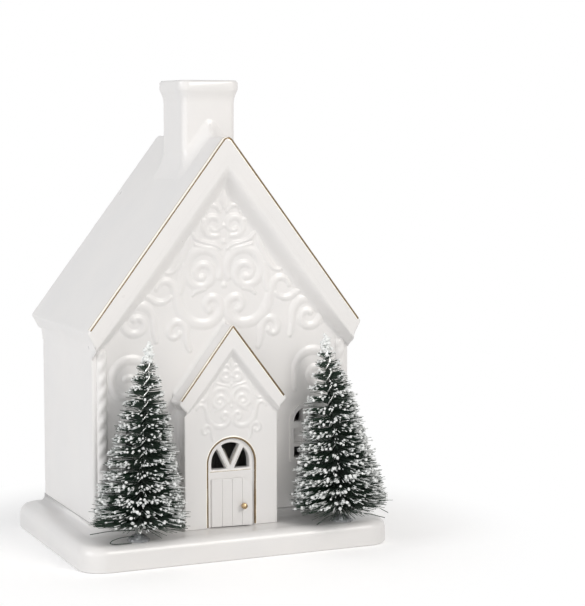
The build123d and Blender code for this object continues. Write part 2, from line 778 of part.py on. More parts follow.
# Battery box: an open-bottomed case hung from a flange that is glued under the slab
slot_length = slider_length + switch_travel + 2 * slide_clearance
rail_length = bay_length + box_wall
rail_left = box_left
cover_width = bay_width
rail_gap = cover_width / 2 + cover_tongue + slide_clearance
cover_top = flange_bottom - slide_clearance
cover_bottom = cover_top - cover_thickness
with BuildPart() as battery_box:
    with BuildSketch(Plane.XY.offset(flange_bottom)):
        with Locations((light_offset, light_middle)):
            Rectangle(flange_length, flange_width)
    extrude(amount=flange_thickness)
    with BuildSketch(Plane.XY.offset(flange_bottom)):
        with Locations((light_offset, light_middle)):
            Rectangle(box_length, box_width)
    extrude(amount=box_top - flange_bottom)
    with BuildSketch(Plane.XY.offset(flange_bottom)):
        with Locations((bay_middle, light_middle)):
            Rectangle(bay_length, bay_width)
    extrude(amount=bay_ceiling - flange_bottom, mode=Mode.SUBTRACT)
    with BuildSketch(Plane.XY.offset(slab_underside)):
        with Locations((switch_middle, light_middle)):
            Rectangle(switch_bay_length, bay_width)
    extrude(amount=bay_ceiling - slab_underside, mode=Mode.SUBTRACT)
    with BuildSketch(Plane.XY.offset(flange_bottom)):
        with Locations((switch_middle, light_middle)):
            Rectangle(slot_length, slider_width + 2 * slide_clearance)
    extrude(amount=flange_thickness + overrun, mode=Mode.SUBTRACT)
    with BuildSketch(Plane.XY.offset(bay_ceiling)):
        with Locations((bay_middle, light_middle)):
            Circle(post_bore_radius)
    extrude(amount=box_wall, mode=Mode.SUBTRACT)
    with BuildSketch(Plane.YZ.offset(bay_right - overrun)):
        with Locations((light_middle, lead_level)):
            Rectangle(lamp_leg_pitch + 4 * lead_radius, 4 * lead_radius)
        with Locations((light_middle + tab_middle, tail_level)):
            Rectangle(tab_high - tab_low + 2 * slide_clearance, contact_tab_width + 2 * slide_clearance)
    extrude(amount=box_wall + 2 * overrun, mode=Mode.SUBTRACT)
    for hand in (-1, 1):
        with BuildSketch(Plane.YZ.offset(rail_left)):
            with BuildLine():
                rail_inner = light_middle + hand * rail_gap
                rail_outer = rail_inner + hand * rail_wall
                lip_edge = light_middle + hand * (cover_width / 2 + slide_clearance)
                lip_top = cover_top - cover_tongue_thickness - slide_clearance
                Polyline(
                    (rail_inner, flange_bottom),
                    (rail_outer, flange_bottom),
                    (rail_outer, cover_bottom),
                    (lip_edge, cover_bottom),
                    (lip_edge, lip_top),
                    (rail_inner, lip_top),
                    close=True,
                )
            make_face()
        extrude(amount=rail_length)
save(battery_box.part, "battery_box")

# Battery cover: a plate with a tongue along each side and a grip for the thumb
with BuildPart() as battery_cover:
    with BuildSketch(Plane.YZ.offset(rail_left)):
        with BuildLine():
            tongue_edge = cover_width / 2 + cover_tongue
            tongue_foot = cover_top - cover_tongue_thickness
            Polyline(
                (light_middle - tongue_edge, cover_top),
                (light_middle + tongue_edge, cover_top),
                (light_middle + tongue_edge, tongue_foot),
                (light_middle + cover_width / 2, tongue_foot),
                (light_middle + cover_width / 2, cover_bottom),
                (light_middle - cover_width / 2, cover_bottom),
                (light_middle - cover_width / 2, tongue_foot),
                (light_middle - tongue_edge, tongue_foot),
                close=True,
            )
        make_face()
    extrude(amount=rail_length)
    with BuildSketch(Plane.XY.offset(cover_bottom)):
        with Locations((bay_left + bay_length / 4, light_middle)):
            with GridLocations(2 * grip_rib_width, 0, grip_rib_count, 1):
                Rectangle(grip_rib_width, bay_width / 2)
    extrude(amount=grip_rib_depth, mode=Mode.SUBTRACT)
save(battery_cover.part, "battery_cover")

# Two cells, nose to tail
with BuildPart() as cells:
    for hand in (-1, 1):
        cell_y = light_middle + hand * cell_pitch / 2
        tail = bay_middle - hand * (cell_length + cell_nub_length) / 2
        cell_plane = Plane(origin=(tail, cell_y, cell_level), x_dir=(0, 1, 0), z_dir=(hand, 0, 0))
        with BuildSketch(cell_plane):
            Circle(cell_radius)
        extrude(amount=cell_length)
        with BuildSketch(cell_plane.offset(cell_length)):
            Circle(cell_nub_radius)
        extrude(amount=cell_nub_length)
save(cells.part, "battery_cells")

# Contacts: one bridge plate at the far end, and a plate for each pole beside the switch
tail_room = (bay_length - cell_length - cell_nub_length) / 2 - contact_thickness
plate_outer = cell_pitch / 2 + contact_height / 2
plate_middle = (contact_inner + plate_outer) / 2
plate_width = plate_outer - contact_inner
with BuildPart() as bridge:
    with BuildSketch(Plane.YZ.offset(bay_left)):
        with Locations((light_middle, cell_level)):
            Rectangle(2 * plate_outer, contact_height)
    extrude(amount=contact_thickness)
    with BuildSketch(Plane.YZ.offset(bay_left)):
        with Locations((light_middle, cell_level)):
            with GridLocations(cell_pitch, 0, 2, 1):
                Rectangle(contact_nose_width, contact_nose_width)
    extrude(amount=contact_thickness + tail_room)
save(bridge.part, "bridge_contact")

with BuildPart() as negative_contact:
    with BuildSketch(Plane.YZ.offset(bay_right)):
        with Locations((light_middle - plate_middle, cell_level)):
            Rectangle(plate_width, contact_height)
        with Locations((light_middle - tab_middle, (cell_level + lead_level) / 2 + lead_radius)):
            Rectangle(tab_high - tab_low, lead_level - cell_level)
    extrude(amount=-contact_thickness)
    with BuildSketch(Plane.YZ.offset(bay_right)):
        with Locations((light_middle - cell_pitch / 2, cell_level)):
            Rectangle(contact_nose_width, contact_nose_width)
    extrude(amount=-(contact_thickness + tail_room))
save(negative_contact.part, "negative_contact")

with BuildPart() as positive_contact:
    with BuildSketch(Plane.YZ.offset(bay_right)):
        with Locations((light_middle + plate_middle, cell_level)):
            Rectangle(plate_width, contact_height)
    extrude(amount=-contact_thickness)
    with BuildSketch(Plane.YZ.offset(bay_right)):
        with Locations((light_middle + cell_pitch / 2, cell_level)):
            Rectangle(contact_nose_width, contact_nose_width)
    extrude(amount=-(contact_thickness + tail_room))
    with BuildSketch(Plane.YZ.offset(bay_right - contact_thickness)):
        with Locations((light_middle + tab_middle, tail_level)):
            Rectangle(tab_high - tab_low, contact_tab_width)
    extrude(amount=contact_thickness + box_wall + light_clearance)
save(positive_contact.part, "positive_contact")

# Switch: a shell over the slot, with a slider whose knob comes out below
switch_ceiling = slab_underside + switch_height
with BuildPart() as switch_body:
    with BuildSketch(Plane.XY.offset(slab_underside)):
        with Locations((switch_middle, light_middle)):
            Rectangle(switch_length, switch_width)
    extrude(amount=switch_height)
    with BuildSketch(Plane.XY.offset(slab_underside)):
        with Locations((switch_middle, light_middle)):
            Rectangle(switch_length - 2 * switch_shell, switch_width - 2 * switch_shell)
    extrude(amount=switch_height - switch_shell, mode=Mode.SUBTRACT)
save(switch_body.part, "switch_body")

slider_middle = switch_middle - switch_travel / 2
with BuildPart() as slider:
    with BuildSketch(Plane.XY.offset(flange_bottom - slider_proud)):
        with Locations((slider_middle, light_middle)):
            Rectangle(slider_length, slider_width)
    extrude(amount=slider_proud + flange_thickness + switch_height - switch_shell - slide_clearance)
    with BuildSketch(Plane.XY.offset(flange_bottom - slider_proud)):
        with Locations((slider_middle, light_middle)):
            with GridLocations(slider_length / 3, 0, 2, 1):
                Rectangle(grip_rib_depth, slider_width)
    extrude(amount=grip_rib_depth, mode=Mode.SUBTRACT)
save(slider.part, "switch_slider")

# Lamp post: a tube on the box that holds the lamp up among the windows
lamp_seat = box_top + post_height
with BuildPart() as lamp_post:
    with BuildSketch(Plane.XY.offset(box_top)):
        with Locations((bay_middle, light_middle)):
            Circle(post_radius)
            Circle(post_bore_radius, mode=Mode.SUBTRACT)
    extrude(amount=post_height)
    with BuildSketch(Plane.XY.offset(lamp_seat)):
        with Locations((bay_middle, light_middle)):
            Circle(post_radius)
            Circle(lamp_radius, mode=Mode.SUBTRACT)
    extrude(amount=box_wall)
save(lamp_post.part, "lamp_post")

dome_foot = lamp_seat + lamp_body_height - lamp_radius
dome_angles = [step * pi / 2 / lamp_bands for step in range(lamp_bands)]
with BuildPart() as lamp:
    with BuildSketch(Plane.XZ.offset(-light_middle)):
        with BuildLine():
            Polyline(
                (bay_middle, lamp_seat - lamp_flange_height),
                (bay_middle + lamp_flange_radius, lamp_seat - lamp_flange_height),
                (bay_middle + lamp_flange_radius, lamp_seat),
                (bay_middle + lamp_radius, lamp_seat),
                *[(bay_middle + lamp_radius * cos(a), dome_foot + lamp_radius * sin(a)) for a in dome_angles],
                (bay_middle, dome_foot + lamp_radius),
                close=True,
            )
        make_face()
    revolve(axis=Axis((bay_middle, light_middle, 0), (0, 0, 1)))
    with BuildSketch(Plane.XY.offset(lamp_seat - lamp_flange_height)):
        with Locations((bay_middle, light_middle)):
            with GridLocations(0, lamp_leg_pitch, 1, 2):
                Rectangle(lamp_leg_width, lamp_leg_width)
    extrude(amount=-lamp_leg_length)
save(lamp.part, "led_lamp")

# Leads: from the lamp's legs down the post and along between the cells
leg_foot = lamp_seat - lamp_flange_height - lamp_leg_length
lead_y = light_middle - lamp_leg_pitch / 2
with BuildPart() as negative_lead:
    with BuildLine():
        FilletPolyline(
            (bay_middle, lead_y, leg_foot),
            (bay_middle, lead_y, lead_level),
            (bay_right - contact_thickness, lead_y, lead_level),
            radius=lead_bend_radius,
        )
    with BuildSketch(Plane(origin=(bay_middle, lead_y, leg_foot), z_dir=(0, 0, -1))):
        RegularPolygon(lead_radius, lead_sides)
    sweep()
save(negative_lead.part, "negative_lead")

lead_y = light_middle + lamp_leg_pitch / 2
with BuildPart() as positive_lead:
    with BuildLine():
        FilletPolyline(
            (bay_middle, lead_y, leg_foot),
            (bay_middle, lead_y, lead_level),
            (switch_middle, lead_y, lead_level),
            (switch_middle, lead_y, switch_ceiling),
            radius=lead_bend_radius,
        )
    with BuildSketch(Plane(origin=(bay_middle, lead_y, leg_foot), z_dir=(0, 0, -1))):
        RegularPolygon(lead_radius, lead_sides)
    sweep()
save(positive_lead.part, "positive_lead")
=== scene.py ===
"""Looks of a glazed ceramic village house with two snowy bottle-brush trees.

The frame is in metres. Shapes here are worked out in millimetres and turned into metres by MM.
The porch faces -Y, the house stands on the plane z = 0, and x = 0 is its middle.
"""

from math import ceil, cos, hypot, pi, radians, sin, sqrt, tan

import bpy
import numpy as np
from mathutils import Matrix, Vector


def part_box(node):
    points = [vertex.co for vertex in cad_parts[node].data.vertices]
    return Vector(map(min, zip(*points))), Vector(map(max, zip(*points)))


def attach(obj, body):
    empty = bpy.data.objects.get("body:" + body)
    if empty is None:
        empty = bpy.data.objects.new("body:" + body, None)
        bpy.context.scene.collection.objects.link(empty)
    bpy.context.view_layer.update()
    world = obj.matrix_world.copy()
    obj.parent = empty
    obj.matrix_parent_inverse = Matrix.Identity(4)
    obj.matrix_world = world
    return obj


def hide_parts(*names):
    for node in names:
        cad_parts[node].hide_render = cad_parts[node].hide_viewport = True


bl_info = {
    "name": "Ceramic Village House",
    "version": (1, 0, 0),
    "blender": (4, 5, 0),
    "location": "3D View > Sidebar > Village House",
    "description": "Dresses a glazed ceramic village house with relief, gold lines and snowy brush trees",
    "category": "Add Mesh",
}

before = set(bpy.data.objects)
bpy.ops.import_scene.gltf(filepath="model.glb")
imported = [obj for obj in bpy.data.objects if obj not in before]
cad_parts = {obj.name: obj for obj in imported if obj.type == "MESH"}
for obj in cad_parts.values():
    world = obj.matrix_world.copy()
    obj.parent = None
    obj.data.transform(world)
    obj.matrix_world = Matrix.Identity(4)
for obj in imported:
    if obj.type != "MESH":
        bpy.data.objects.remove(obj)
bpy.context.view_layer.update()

MM = 0.001
SEED = 20

# The photograph's size in pixels, and the camera's sensor in millimetres
PHOTO_SIZE = (585, 606)
SENSOR = 36.0

# Fired pieces, and the width of the soft edge that the glaze leaves on each
CERAMIC_EDGES = {
    "base": 0.0,
    "house_walls": 0.55,
    "roof": 1.0,
    "chimney": 0.0,
    "porch_walls": 0.6,
    "porch_roof": 0.8,
    "door": 0.45,
}
LIGHT_UNIT_EDGE = 0.2
WELD_REACH = 0.002

# Pieces whose flat faces are made whole before their edges are rounded, and angles in degrees: up to which
# faces count as one flat face, and from which an edge is rounded or shaded as sharp
WHOLE_FACED = ("roof", "porch_roof", "porch_walls")
FLAT_ANGLE = 0.5
EDGE_ANGLE = 35.0
SHARP_ANGLE = 70.0

# Roofs: their pitch in degrees, and for each the walls under it, the relief that marks the wall's face, its
# gold line, the ridge's radius, the leg, flat strip and rounding of the soft step below its front edge, and
# the width of its gold sheen, a painted highlight on the gold line
ROOF_PITCH = 52.72
ROOFS = {
    "roof": {
        "walls": "house_walls", "relief": "gable_scrolls", "gilding": "roof_gilding",
        "radius": 3.0, "leg": 9.5, "strip": 1.1, "soft": 0.8, "band": 2.2,
    },
    "porch_roof": {
        "walls": "porch_walls", "relief": "porch_scrolls", "gilding": "porch_gilding",
        "radius": 0.9, "leg": 4.2, "strip": 0.4, "soft": 0.6, "band": 1.5,
    },
}

# Hollows of glaze: how far the soft step stands before the roof's face and what share of it is left at the
# eaves, and the legs of those in the porch roof's valley and beside the porch
STEP_PROUD = 0.03
STEP_END = 0.4
VALLEY_LEG = 2.6
CHEEK_LEG = 3.0

# Scroll strokes, drawn for a gable of this half width: start, heading, arcs (radius and turn),
# half widths at the start, middle and end, and the radius of the bead that ends it. All half widths get
# the swell, the middle lies at this share of the length, and end beads stand higher by the lift
DRAWN_HALF_WIDTH = 65.0
BAND_SWELL = 0.4
BAND_MIDDLE = 0.35
BEAD_LIFT = 1.15
SCROLLS = {
    "lower": (
        (33.4, 25.3), 98, [(4.3, 148), (34.0, 14), (12.6, -88), (8.4, -74), (4.6, -98), (3.1, -150)],
        (0.9, 2.6, 1.5), 2.1,
    ),
    "upper": ((2.4, 30.1), 118, [(8.8, -258), (6.4, -96), (4.7, -170), (2.9, -150)], (1.6, 2.1, 1.4), 2.2),
    "flank": ((20.2, 36.0), -86, [(60.0, 12)], (1.4, 2.2, 1.6), 0.0),
    "side": ((33.9, 1.3), 76, [(40.0, 14), (7.4, -190), (5.6, -120), (3.4, -170)], (1.0, 2.1, 1.4), 2.0),
    "small": ((17.4, -3.7), 68, [(25.0, 22), (4.2, -200), (2.5, -140)], (0.9, 1.8, 1.1), 1.5),
    "hood": (
        (36.4, -25.3), 92, [(120.0, -4.5), (9.6, -205), (5.6, -150), (3.2, -120)], (0.9, 2.1, 1.4), 1.8,
    ),
    "crest": ((3.2, 49.5), 0, [(30.0, 5), (4.3, 195), (3.1, 150), (1.8, 60)], (1.1, 1.6, 1.0), 1.2),
    "crown": ((1.6, 43.4), 46, [(8.0, -36), (40.0, 12)], (0.5, 0.8, 0.4), 0.0),
    "crown_rim": ((3.4, 42.4), 36, [(9.0, -28), (40.0, 10)], (0.4, 0.7, 0.4), 0.0),
    "bract": ((15.8, 53.5), -54, [(10.0, -29), (26.0, 36), (4.5, 62)], (0.7, 1.7, 0.7), 0.0),
    "leaf": ((26.4, 21.7), -52, [(6.5, 92), (12.0, -42), (13.0, -16)], (0.7, 1.5, 0.6), 1.2),
    "spur": ((9.6, 24.6), 8, [(6.5, -62)], (0.6, 1.3, 0.5), 0.0),
    "frond": ((2.0, 60.9), 78, [(3.8, -110), (2.2, -80)], (0.7, 1.2, 0.8), 1.0),
    "leaflet": ((8.2, 56.2), 14, [(9.0, 42)], (0.5, 1.1, 0.4), 0.0),
    "barb": ((12.4, 47.6), 28, [(8.0, 46)], (0.5, 1.1, 0.4), 0.0),
    "finial": ((0.0, 62.6), 90, [(400.0, 1.4)], (0.5, 1.7, 0.3), 0.0),
}
SCROLL_BEADS = [(0.0, 26.2, 1.6), (0.0, 46.7, 1.4), (0.0, 54.2, 1.3)]
PORCH_STROKES = ("lower", "upper", "flank", "small", "crest", "crown", "bract", "spur", "frond", "finial")

# Reliefs: the roof over each, its height setting, its strokes, its scale to the wall, and its drop below
# the eave. The margin is left round the strokes, and the field is sunk this far into the wall
RELIEFS = {
    "gable_relief": ("roof", "gable_height", tuple(SCROLLS), 1.0, 0.0),
    "porch_relief": ("porch_roof", "porch_height", PORCH_STROKES, 1.438, 12.4),
}
RELIEF_MARGIN = 4.0
RELIEF_SUNK = 0.03

# Corner ropes: width, height of one ring of the mesh, root in the wall, and the lengths over which the ends
# round off
ROPE_WIDTH = 5.0
ROPE_RING = 0.3
ROPE_ROOT = 0.05
ROPE_TOP_END = 3.5
ROPE_FOOT_END = 2.0

# Painted lines: how far they waver and swell, over how many points that is evened out, and how they lie
LINE_WAVER = 0.12
LINE_SWELL = 0.3
LINE_STEADY = 7
LINE_PROUD = 0.05
LINE_ROOT = 0.15

# Door: radius of its arch, depth of the fanlight's face, height of the transom, and the fan's slanting bars
ARCH_RADIUS = 11.5
FAN_DEPTH = 1.4
TRANSOM = 38.4
FAN_LEAN = 26.0
FAN_BAR_HALF = 1.15

# Brush trees: lean in degrees, the brush's reach, its share of snow and the size of the grains, where its
# wires start to turn, and the bends of its stray fibres as offsets from the foot
TREES = {
    "left": {
        "lean": 3.4, "reach": 25.0, "snow": 0.5, "grain": 1.0, "turn": 0.4,
        "strays": [
            [(-1, -1, 2.2), (-9, -3, 2.9), (-14, -4, 2), (-15.5, -4.5, 0.9), (-13, -5, 0.3), (-5, -5, 0.3)],
            [(-2, -1, 5), (-14, -2, 6), (-24, -3, 5.5)],
            [(2, -1, 5), (14, -4, 6), (22, -5, 4.5)],
        ],
    },
    "right": {
        "lean": -5.7, "reach": 26.4, "snow": 0.52, "grain": 1.15, "turn": 1.9,
        "strays": [
            [(3, 0, 6), (14, -2, 7.5), (22.8, -4, 2.4)],
            [(2, -1, 4), (12, -4, 3), (20, -6, 0.6)],
            [(-2, -1, 4), (-10, -4, 3), (-16, -6, 0.5)],
            [(2, -2, 7), (13, -5, 9), (21, -5, 6.5)],
        ],
    },
}
BRUSH_HEIGHTS = (0.0, 0.04, 0.14, 0.45, 0.66, 0.84, 0.93, 1.0)
BRUSH_REACHES = (0.9, 0.92, 0.85, 0.6, 0.44, 0.23, 0.14, 0.06)
BRUSH_BOTTOM = 6.5
BRUSH_TIP_ROOM = 0.8

# Fibres: the share that lies in rows, the spread of their turn in a row and loose, the shares of their
# length at which they bend, how thick they are there, and the radii of stray fibres and of the wires
IN_ROW = 0.72
ROW_SPREAD = 0.34
LOOSE_SPREAD = 0.75
FIBRE_BENDS = np.array([0.02, 0.4, 0.72, 1.0])
FIBRE_TAPER = np.array([1.1, 1.0, 0.95, 0.7])
STRAY_RADIUS = 0.19
WIRE_RADIUS = 0.5

# Snow: radii of a frosted end along its length, where the white crown starts and over what share it comes,
# the share of loose fibres that carry snow, the share of snowy ends with a bead, and the tip's cap
COAT_RADII = np.array([0.13, 0.17, 0.19, 0.18])
CROWN_START = 0.91
CROWN_BLEND = 0.05
LOOSE_SNOW = 0.4
BEADED = 0.55
CAP_HEIGHT = 8.0

# Finishes of the light unit: two close tones, the size of their blotches, the grain's depth, other inputs
# of the shader, and the CAD nodes that have it
LIGHT_FINISHES = {
    "white_plastic": (
        (0.74, 0.74, 0.72), (0.70, 0.70, 0.68), 6, 0.02, {"roughness": 0.42},
        ("battery_box", "battery_cover", "lamp_post"),
    ),
    "cell_sleeve": (
        (0.06, 0.065, 0.07), (0.09, 0.09, 0.1), 8, 0.01, {"roughness": 0.3}, ("battery_cells",),
    ),
    "plated_steel": (
        (0.62, 0.61, 0.58), (0.5, 0.49, 0.47), 2, 0.01, {"metallic": 1.0, "roughness": 0.3},
        ("bridge_contact", "negative_contact", "positive_contact", "switch_body"),
    ),
    "black_plastic": (
        (0.015, 0.015, 0.016), (0.03, 0.03, 0.03), 3, 0.02, {"roughness": 0.45}, ("switch_slider",),
    ),
    "lamp_epoxy": (
        (0.93, 0.84, 0.55), (0.9, 0.86, 0.7), 2, 0.01, {"roughness": 0.12, "transmission_weight": 0.5},
        ("led_lamp",),
    ),
    "black_sleeve": (
        (0.02, 0.02, 0.02), (0.04, 0.04, 0.04), 2, 0.01, {"roughness": 0.5}, ("negative_lead",),
    ),
    "red_sleeve": (
        (0.42, 0.02, 0.015), (0.34, 0.02, 0.015), 2, 0.01, {"roughness": 0.5}, ("positive_lead",),
    ),
}

# Soft lights: where each stands in metres, its size, its power in watts and its colour, and where they aim
SOFTBOXES = {
    "key_softbox": ((0.55, -1.3, 0.95), 0.6, 11.6, (1.0, 0.965, 0.93)),
    "left_softbox": ((-1.5, -0.35, 0.7), 0.9, 10.8, (0.985, 0.985, 1.0)),
    "low_softbox": ((-0.75, -1.3, 0.25), 0.8, 2.6, (1.0, 0.98, 0.96)),
}
LIGHT_AIM = Vector((0, 0, 0.1))

# Floor: half its width in metres, and the distances between which it runs out into white
FLOOR_HALF = 6.0
FLOOR_FADE = (85, 170)


class HouseFinish(bpy.types.PropertyGroup):
    """Colours and gloss of the fired pieces."""

    glaze: bpy.props.FloatVectorProperty(
        name="Glaze", description="White of the glaze",
        subtype="COLOR", default=(0.80, 0.785, 0.77), min=0, max=1,
    )
    pooled_glaze: bpy.props.FloatVectorProperty(
        name="Pooled glaze", description="White of the glaze where it lies thicker",
        subtype="COLOR", default=(0.765, 0.757, 0.75), min=0, max=1,
    )
    gloss: bpy.props.FloatProperty(
        name="Roughness", description="Roughness of the glaze", subtype="FACTOR", default=0.3, min=0, max=1
    )
    # Gold of the painted lines, darkened as painted shade: it stands for the dark reflection along them
    gold: bpy.props.FloatVectorProperty(
        name="Gold", description="Fired gold where it lies thick",
        subtype="COLOR", default=(0.25, 0.178, 0.10), min=0, max=1,
    )
    gold_knob: bpy.props.FloatVectorProperty(
        name="Gold knob", description="Gold of the door's knob",
        subtype="COLOR", default=(0.62, 0.45, 0.26), min=0, max=1,
    )
    # Gold sheen: a near-white gold laid beside the dark line as a painted highlight
    gold_painted_highlight: bpy.props.FloatVectorProperty(
        name="Gold sheen", description="Fired gold where it lies thin",
        subtype="COLOR", default=(0.98, 0.94, 0.86), min=0, max=1,
    )


class ReliefSizes(bpy.types.PropertyGroup):
    """Sizes of the moulded scrollwork, of the corner ropes and of the gold lines."""

    gable_height: bpy.props.FloatProperty(
        name="Gable relief", description="How far the gable's scrolls stand out",
        unit="LENGTH", default=0.76 * MM,
    )
    porch_height: bpy.props.FloatProperty(
        name="Porch relief", description="How far the porch's scrolls stand out",
        unit="LENGTH", default=0.48 * MM,
    )
    grid_step: bpy.props.FloatProperty(
        name="Grid step", description="Fineness of the relief's mesh", unit="LENGTH", default=0.216 * MM
    )
    softening: bpy.props.FloatProperty(
        name="Softening", description="How far the glaze rounds the relief",
        unit="LENGTH", default=0.48 * MM,
    )
    rope_pitch: bpy.props.FloatProperty(
        name="Rope pitch", description="Height from one twist of a rope to the next",
        unit="LENGTH", default=6.5 * MM,
    )
    gold_width: bpy.props.FloatProperty(
        name="Gold line", description="Width of the painted gold lines", unit="LENGTH", default=0.95 * MM
    )


class TreeSizes(bpy.types.PropertyGroup):
    """Fibres and snow of the brush trees."""

    fibres: bpy.props.IntProperty(name="Fibres", description="Fibres in one tree", default=4200, min=300)
    fibre_radius: bpy.props.FloatProperty(
        name="Fibre radius", description="Radius of one fibre", unit="LENGTH", default=0.15 * MM
    )
    wire_pitch: bpy.props.FloatProperty(
        name="Wire pitch", description="Height of one turn of the twisted wires",
        unit="LENGTH", default=11 * MM,
    )
    bead_radius: bpy.props.FloatProperty(
        name="Snow bead", description="Radius of a common bead of snow", unit="LENGTH", default=0.52 * MM
    )
    green: bpy.props.FloatVectorProperty(
        name="Green", description="Colour of the fibres",
        subtype="COLOR", default=(0.006, 0.019, 0.010), min=0, max=1,
    )
    light_green: bpy.props.FloatVectorProperty(
        name="Light green", description="Colour of the lighter fibres",
        subtype="COLOR", default=(0.022, 0.055, 0.031), min=0, max=1,
    )
    snow: bpy.props.FloatVectorProperty(
        name="Snow", description="Colour of the snow",
        subtype="COLOR", default=(0.91, 0.93, 0.92), min=0, max=1,
    )


class StageSettings(bpy.types.PropertyGroup):
    """Camera and light."""

    azimuth: bpy.props.FloatProperty(
        name="Azimuth", description="Turn of the view", subtype="ANGLE", default=radians(-24.03)
    )
    elevation: bpy.props.FloatProperty(
        name="Elevation", description="Height of the view", subtype="ANGLE", default=radians(5.71)
    )
    distance: bpy.props.FloatProperty(
        name="Distance", description="From the camera to its target", unit="LENGTH", default=900 * MM
    )
    target: bpy.props.FloatVectorProperty(
        name="Target", description="Point that the camera looks at",
        subtype="TRANSLATION", unit="LENGTH", default=(53.14 * MM, 15.5 * MM, 111.28 * MM),
    )
    focal_pixels: bpy.props.FloatProperty(
        name="Focal length", description="In pixels of the photograph", subtype="PIXEL", default=1792.4
    )
    sky: bpy.props.FloatProperty(
        name="Surrounding light", description="Strength of the even light", default=0.39, min=0
    )
    floor_lift: bpy.props.FloatProperty(
        name="Floor lift", description="White added to the floor as the camera sees it", default=0.24, min=0
    )


def box_mm(node):
    """A CAD node's low and high corners in millimetres."""
    return tuple(np.array(corner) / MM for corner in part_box(node))


def unit(vectors):
    """Rows of vectors, each made one long."""
    return vectors / np.linalg.norm(vectors, axis=1)[:, None]


def add_node(tree, kind, inputs=None, **settings):
    """A new shader node with its settings and inputs: an input is a value, or a socket to link."""
    node = tree.nodes.new(kind)
    for name, value in settings.items():
        setattr(node, name, value)
    for name, value in (inputs or {}).items():
        if isinstance(value, bpy.types.NodeSocket):
            tree.links.new(value, node.inputs[name])
        else:
            node.inputs[name].default_value = value
    return node


def socket_name(key):
    """A shader socket's name, from a keyword."""
    return "IOR" if key == "ior" else key.replace("_", " ").title()


def new_material(name, **values):
    """A material with one Principled shader, whose constant inputs are set on their sockets."""
    material = bpy.data.materials.new(name)
    material.use_nodes = True
    shader = material.node_tree.nodes["Principled BSDF"]
    for key, value in values.items():
        shader.inputs[socket_name(key)].default_value = value
    return material, material.node_tree, shader


def feed(tree, shader, **sockets):
    """Links sockets to a shader's inputs."""
    for key, socket in sockets.items():
        tree.links.new(socket, shader.inputs[socket_name(key)])


def place(tree):
    """The place on the piece, in metres."""
    return add_node(tree, "ShaderNodeTexCoord").outputs["Object"]


def cloudy(tree, where, size):
    """Soft noise with blotches of about this size in millimetres."""
    inputs = {"Vector": where, "Scale": 1 / (size * MM), "Detail": 2.0, "Roughness": 0.5}
    return add_node(tree, "ShaderNodeTexNoise", inputs).outputs["Fac"]


def spread(tree, factor, low, high):
    """A 0 to 1 factor spread between two numbers."""
    node = add_node(tree, "ShaderNodeMapRange", {"Value": factor, "To Min": low, "To Max": high})
    return node.outputs["Result"]


def blend_colours(tree, factor, first, second):
    """Two colours mixed by a factor."""
    inputs = {"Factor": factor, 6: (*first, 1.0), 7: (*second, 1.0)}
    return add_node(tree, "ShaderNodeMix", inputs, data_type="RGBA").outputs[2]


def uneven(tree, height, depth, under=None):
    """A bump of this depth in millimetres, laid over another one."""
    inputs = {"Height": height, "Strength": 1.0, "Distance": depth * MM}
    if under is not None:
        inputs["Normal"] = under
    return add_node(tree, "ShaderNodeBump", inputs).outputs["Normal"]


def porcelain(finish):
    """White glaze: warm where thin, cooler where it pools, with a slightly wavy face."""
    material, tree, shader = new_material("porcelain_glaze", ior=1.5, coat_weight=0.12, coat_roughness=0.12)
    where = place(tree)
    pooled = spread(tree, cloudy(tree, where, 28), -0.4, 1.4)
    colour = blend_colours(tree, pooled, finish.glaze, finish.pooled_glaze)
    rough = spread(tree, cloudy(tree, where, 9), finish.gloss * 0.8, finish.gloss * 1.3)
    wave = uneven(tree, cloudy(tree, where, 17), 0.16)
    peel = uneven(tree, cloudy(tree, where, 1.6), 0.006, wave)
    feed(tree, shader, base_color=colour, roughness=rough, normal=peel)
    return material


def fired_gold(name, bright, fade):
    """Gold lustre, brushed on by hand: uneven in gloss, and darker in patches by the fade."""
    material, tree, shader = new_material(name, metallic=1.0)
    where = place(tree)
    worn = spread(tree, cloudy(tree, where, 2.4), -0.3, 1.3)
    colour = blend_colours(tree, worn, bright, [c * fade for c in bright])
    rough = spread(tree, cloudy(tree, where, 1.1), 0.22, 0.46)
    brushed = uneven(tree, cloudy(tree, where, 0.5), 0.02)
    feed(tree, shader, base_color=colour, roughness=rough, normal=brushed)
    return material


def tree_fibre(sizes):
    """Dyed sisal: very dark green, here and there a lighter strand."""
    material, tree, shader = new_material("tree_sisal", sheen_weight=0.05)
    where = place(tree)
    strand = spread(tree, cloudy(tree, where, 1.3), -0.6, 1.5)
    colour = blend_colours(tree, strand, sizes.green, sizes.light_green)
    rough = spread(tree, cloudy(tree, where, 0.6), 0.42, 0.7)
    feed(tree, shader, base_color=colour, roughness=rough)
    return material


def cloudy_finish(name, colour, other, size, depth, grain_size=None, **values):
    """A finish in two close tones, with a fine grain of its own. Sizes are in millimetres."""
    material, tree, shader = new_material(name, **values)
    where = place(tree)
    tone = blend_colours(tree, cloudy(tree, where, size), colour, other)
    grain = uneven(tree, cloudy(tree, where, grain_size or size / 6), depth)
    feed(tree, shader, base_color=tone, normal=grain)
    return material


def add_piece(name, parts, material, node=None):
    """A piece that rides on the house, from closed parts in millimetres. Node is what it stands for."""
    vertices, faces, count = [], [], 0
    for part_vertices, part_faces in parts:
        vertices.append(part_vertices)
        faces += [[int(i) + count for i in face] for face in part_faces]
        count += len(part_vertices)
    mesh = bpy.data.meshes.new(name)
    mesh.from_pydata((np.concatenate(vertices) * MM).tolist(), [], faces)
    mesh.validate()
    mesh.polygons.foreach_set("use_smooth", np.full(len(mesh.polygons), True))
    mesh.set_sharp_from_angle(angle=radians(SHARP_ANGLE))
    mesh.update()
    mesh.materials.append(material)
    piece = bpy.data.objects.new(name, mesh)
    bpy.context.scene.collection.objects.link(piece)
    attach(piece, "house")
    if node:
        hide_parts(node)


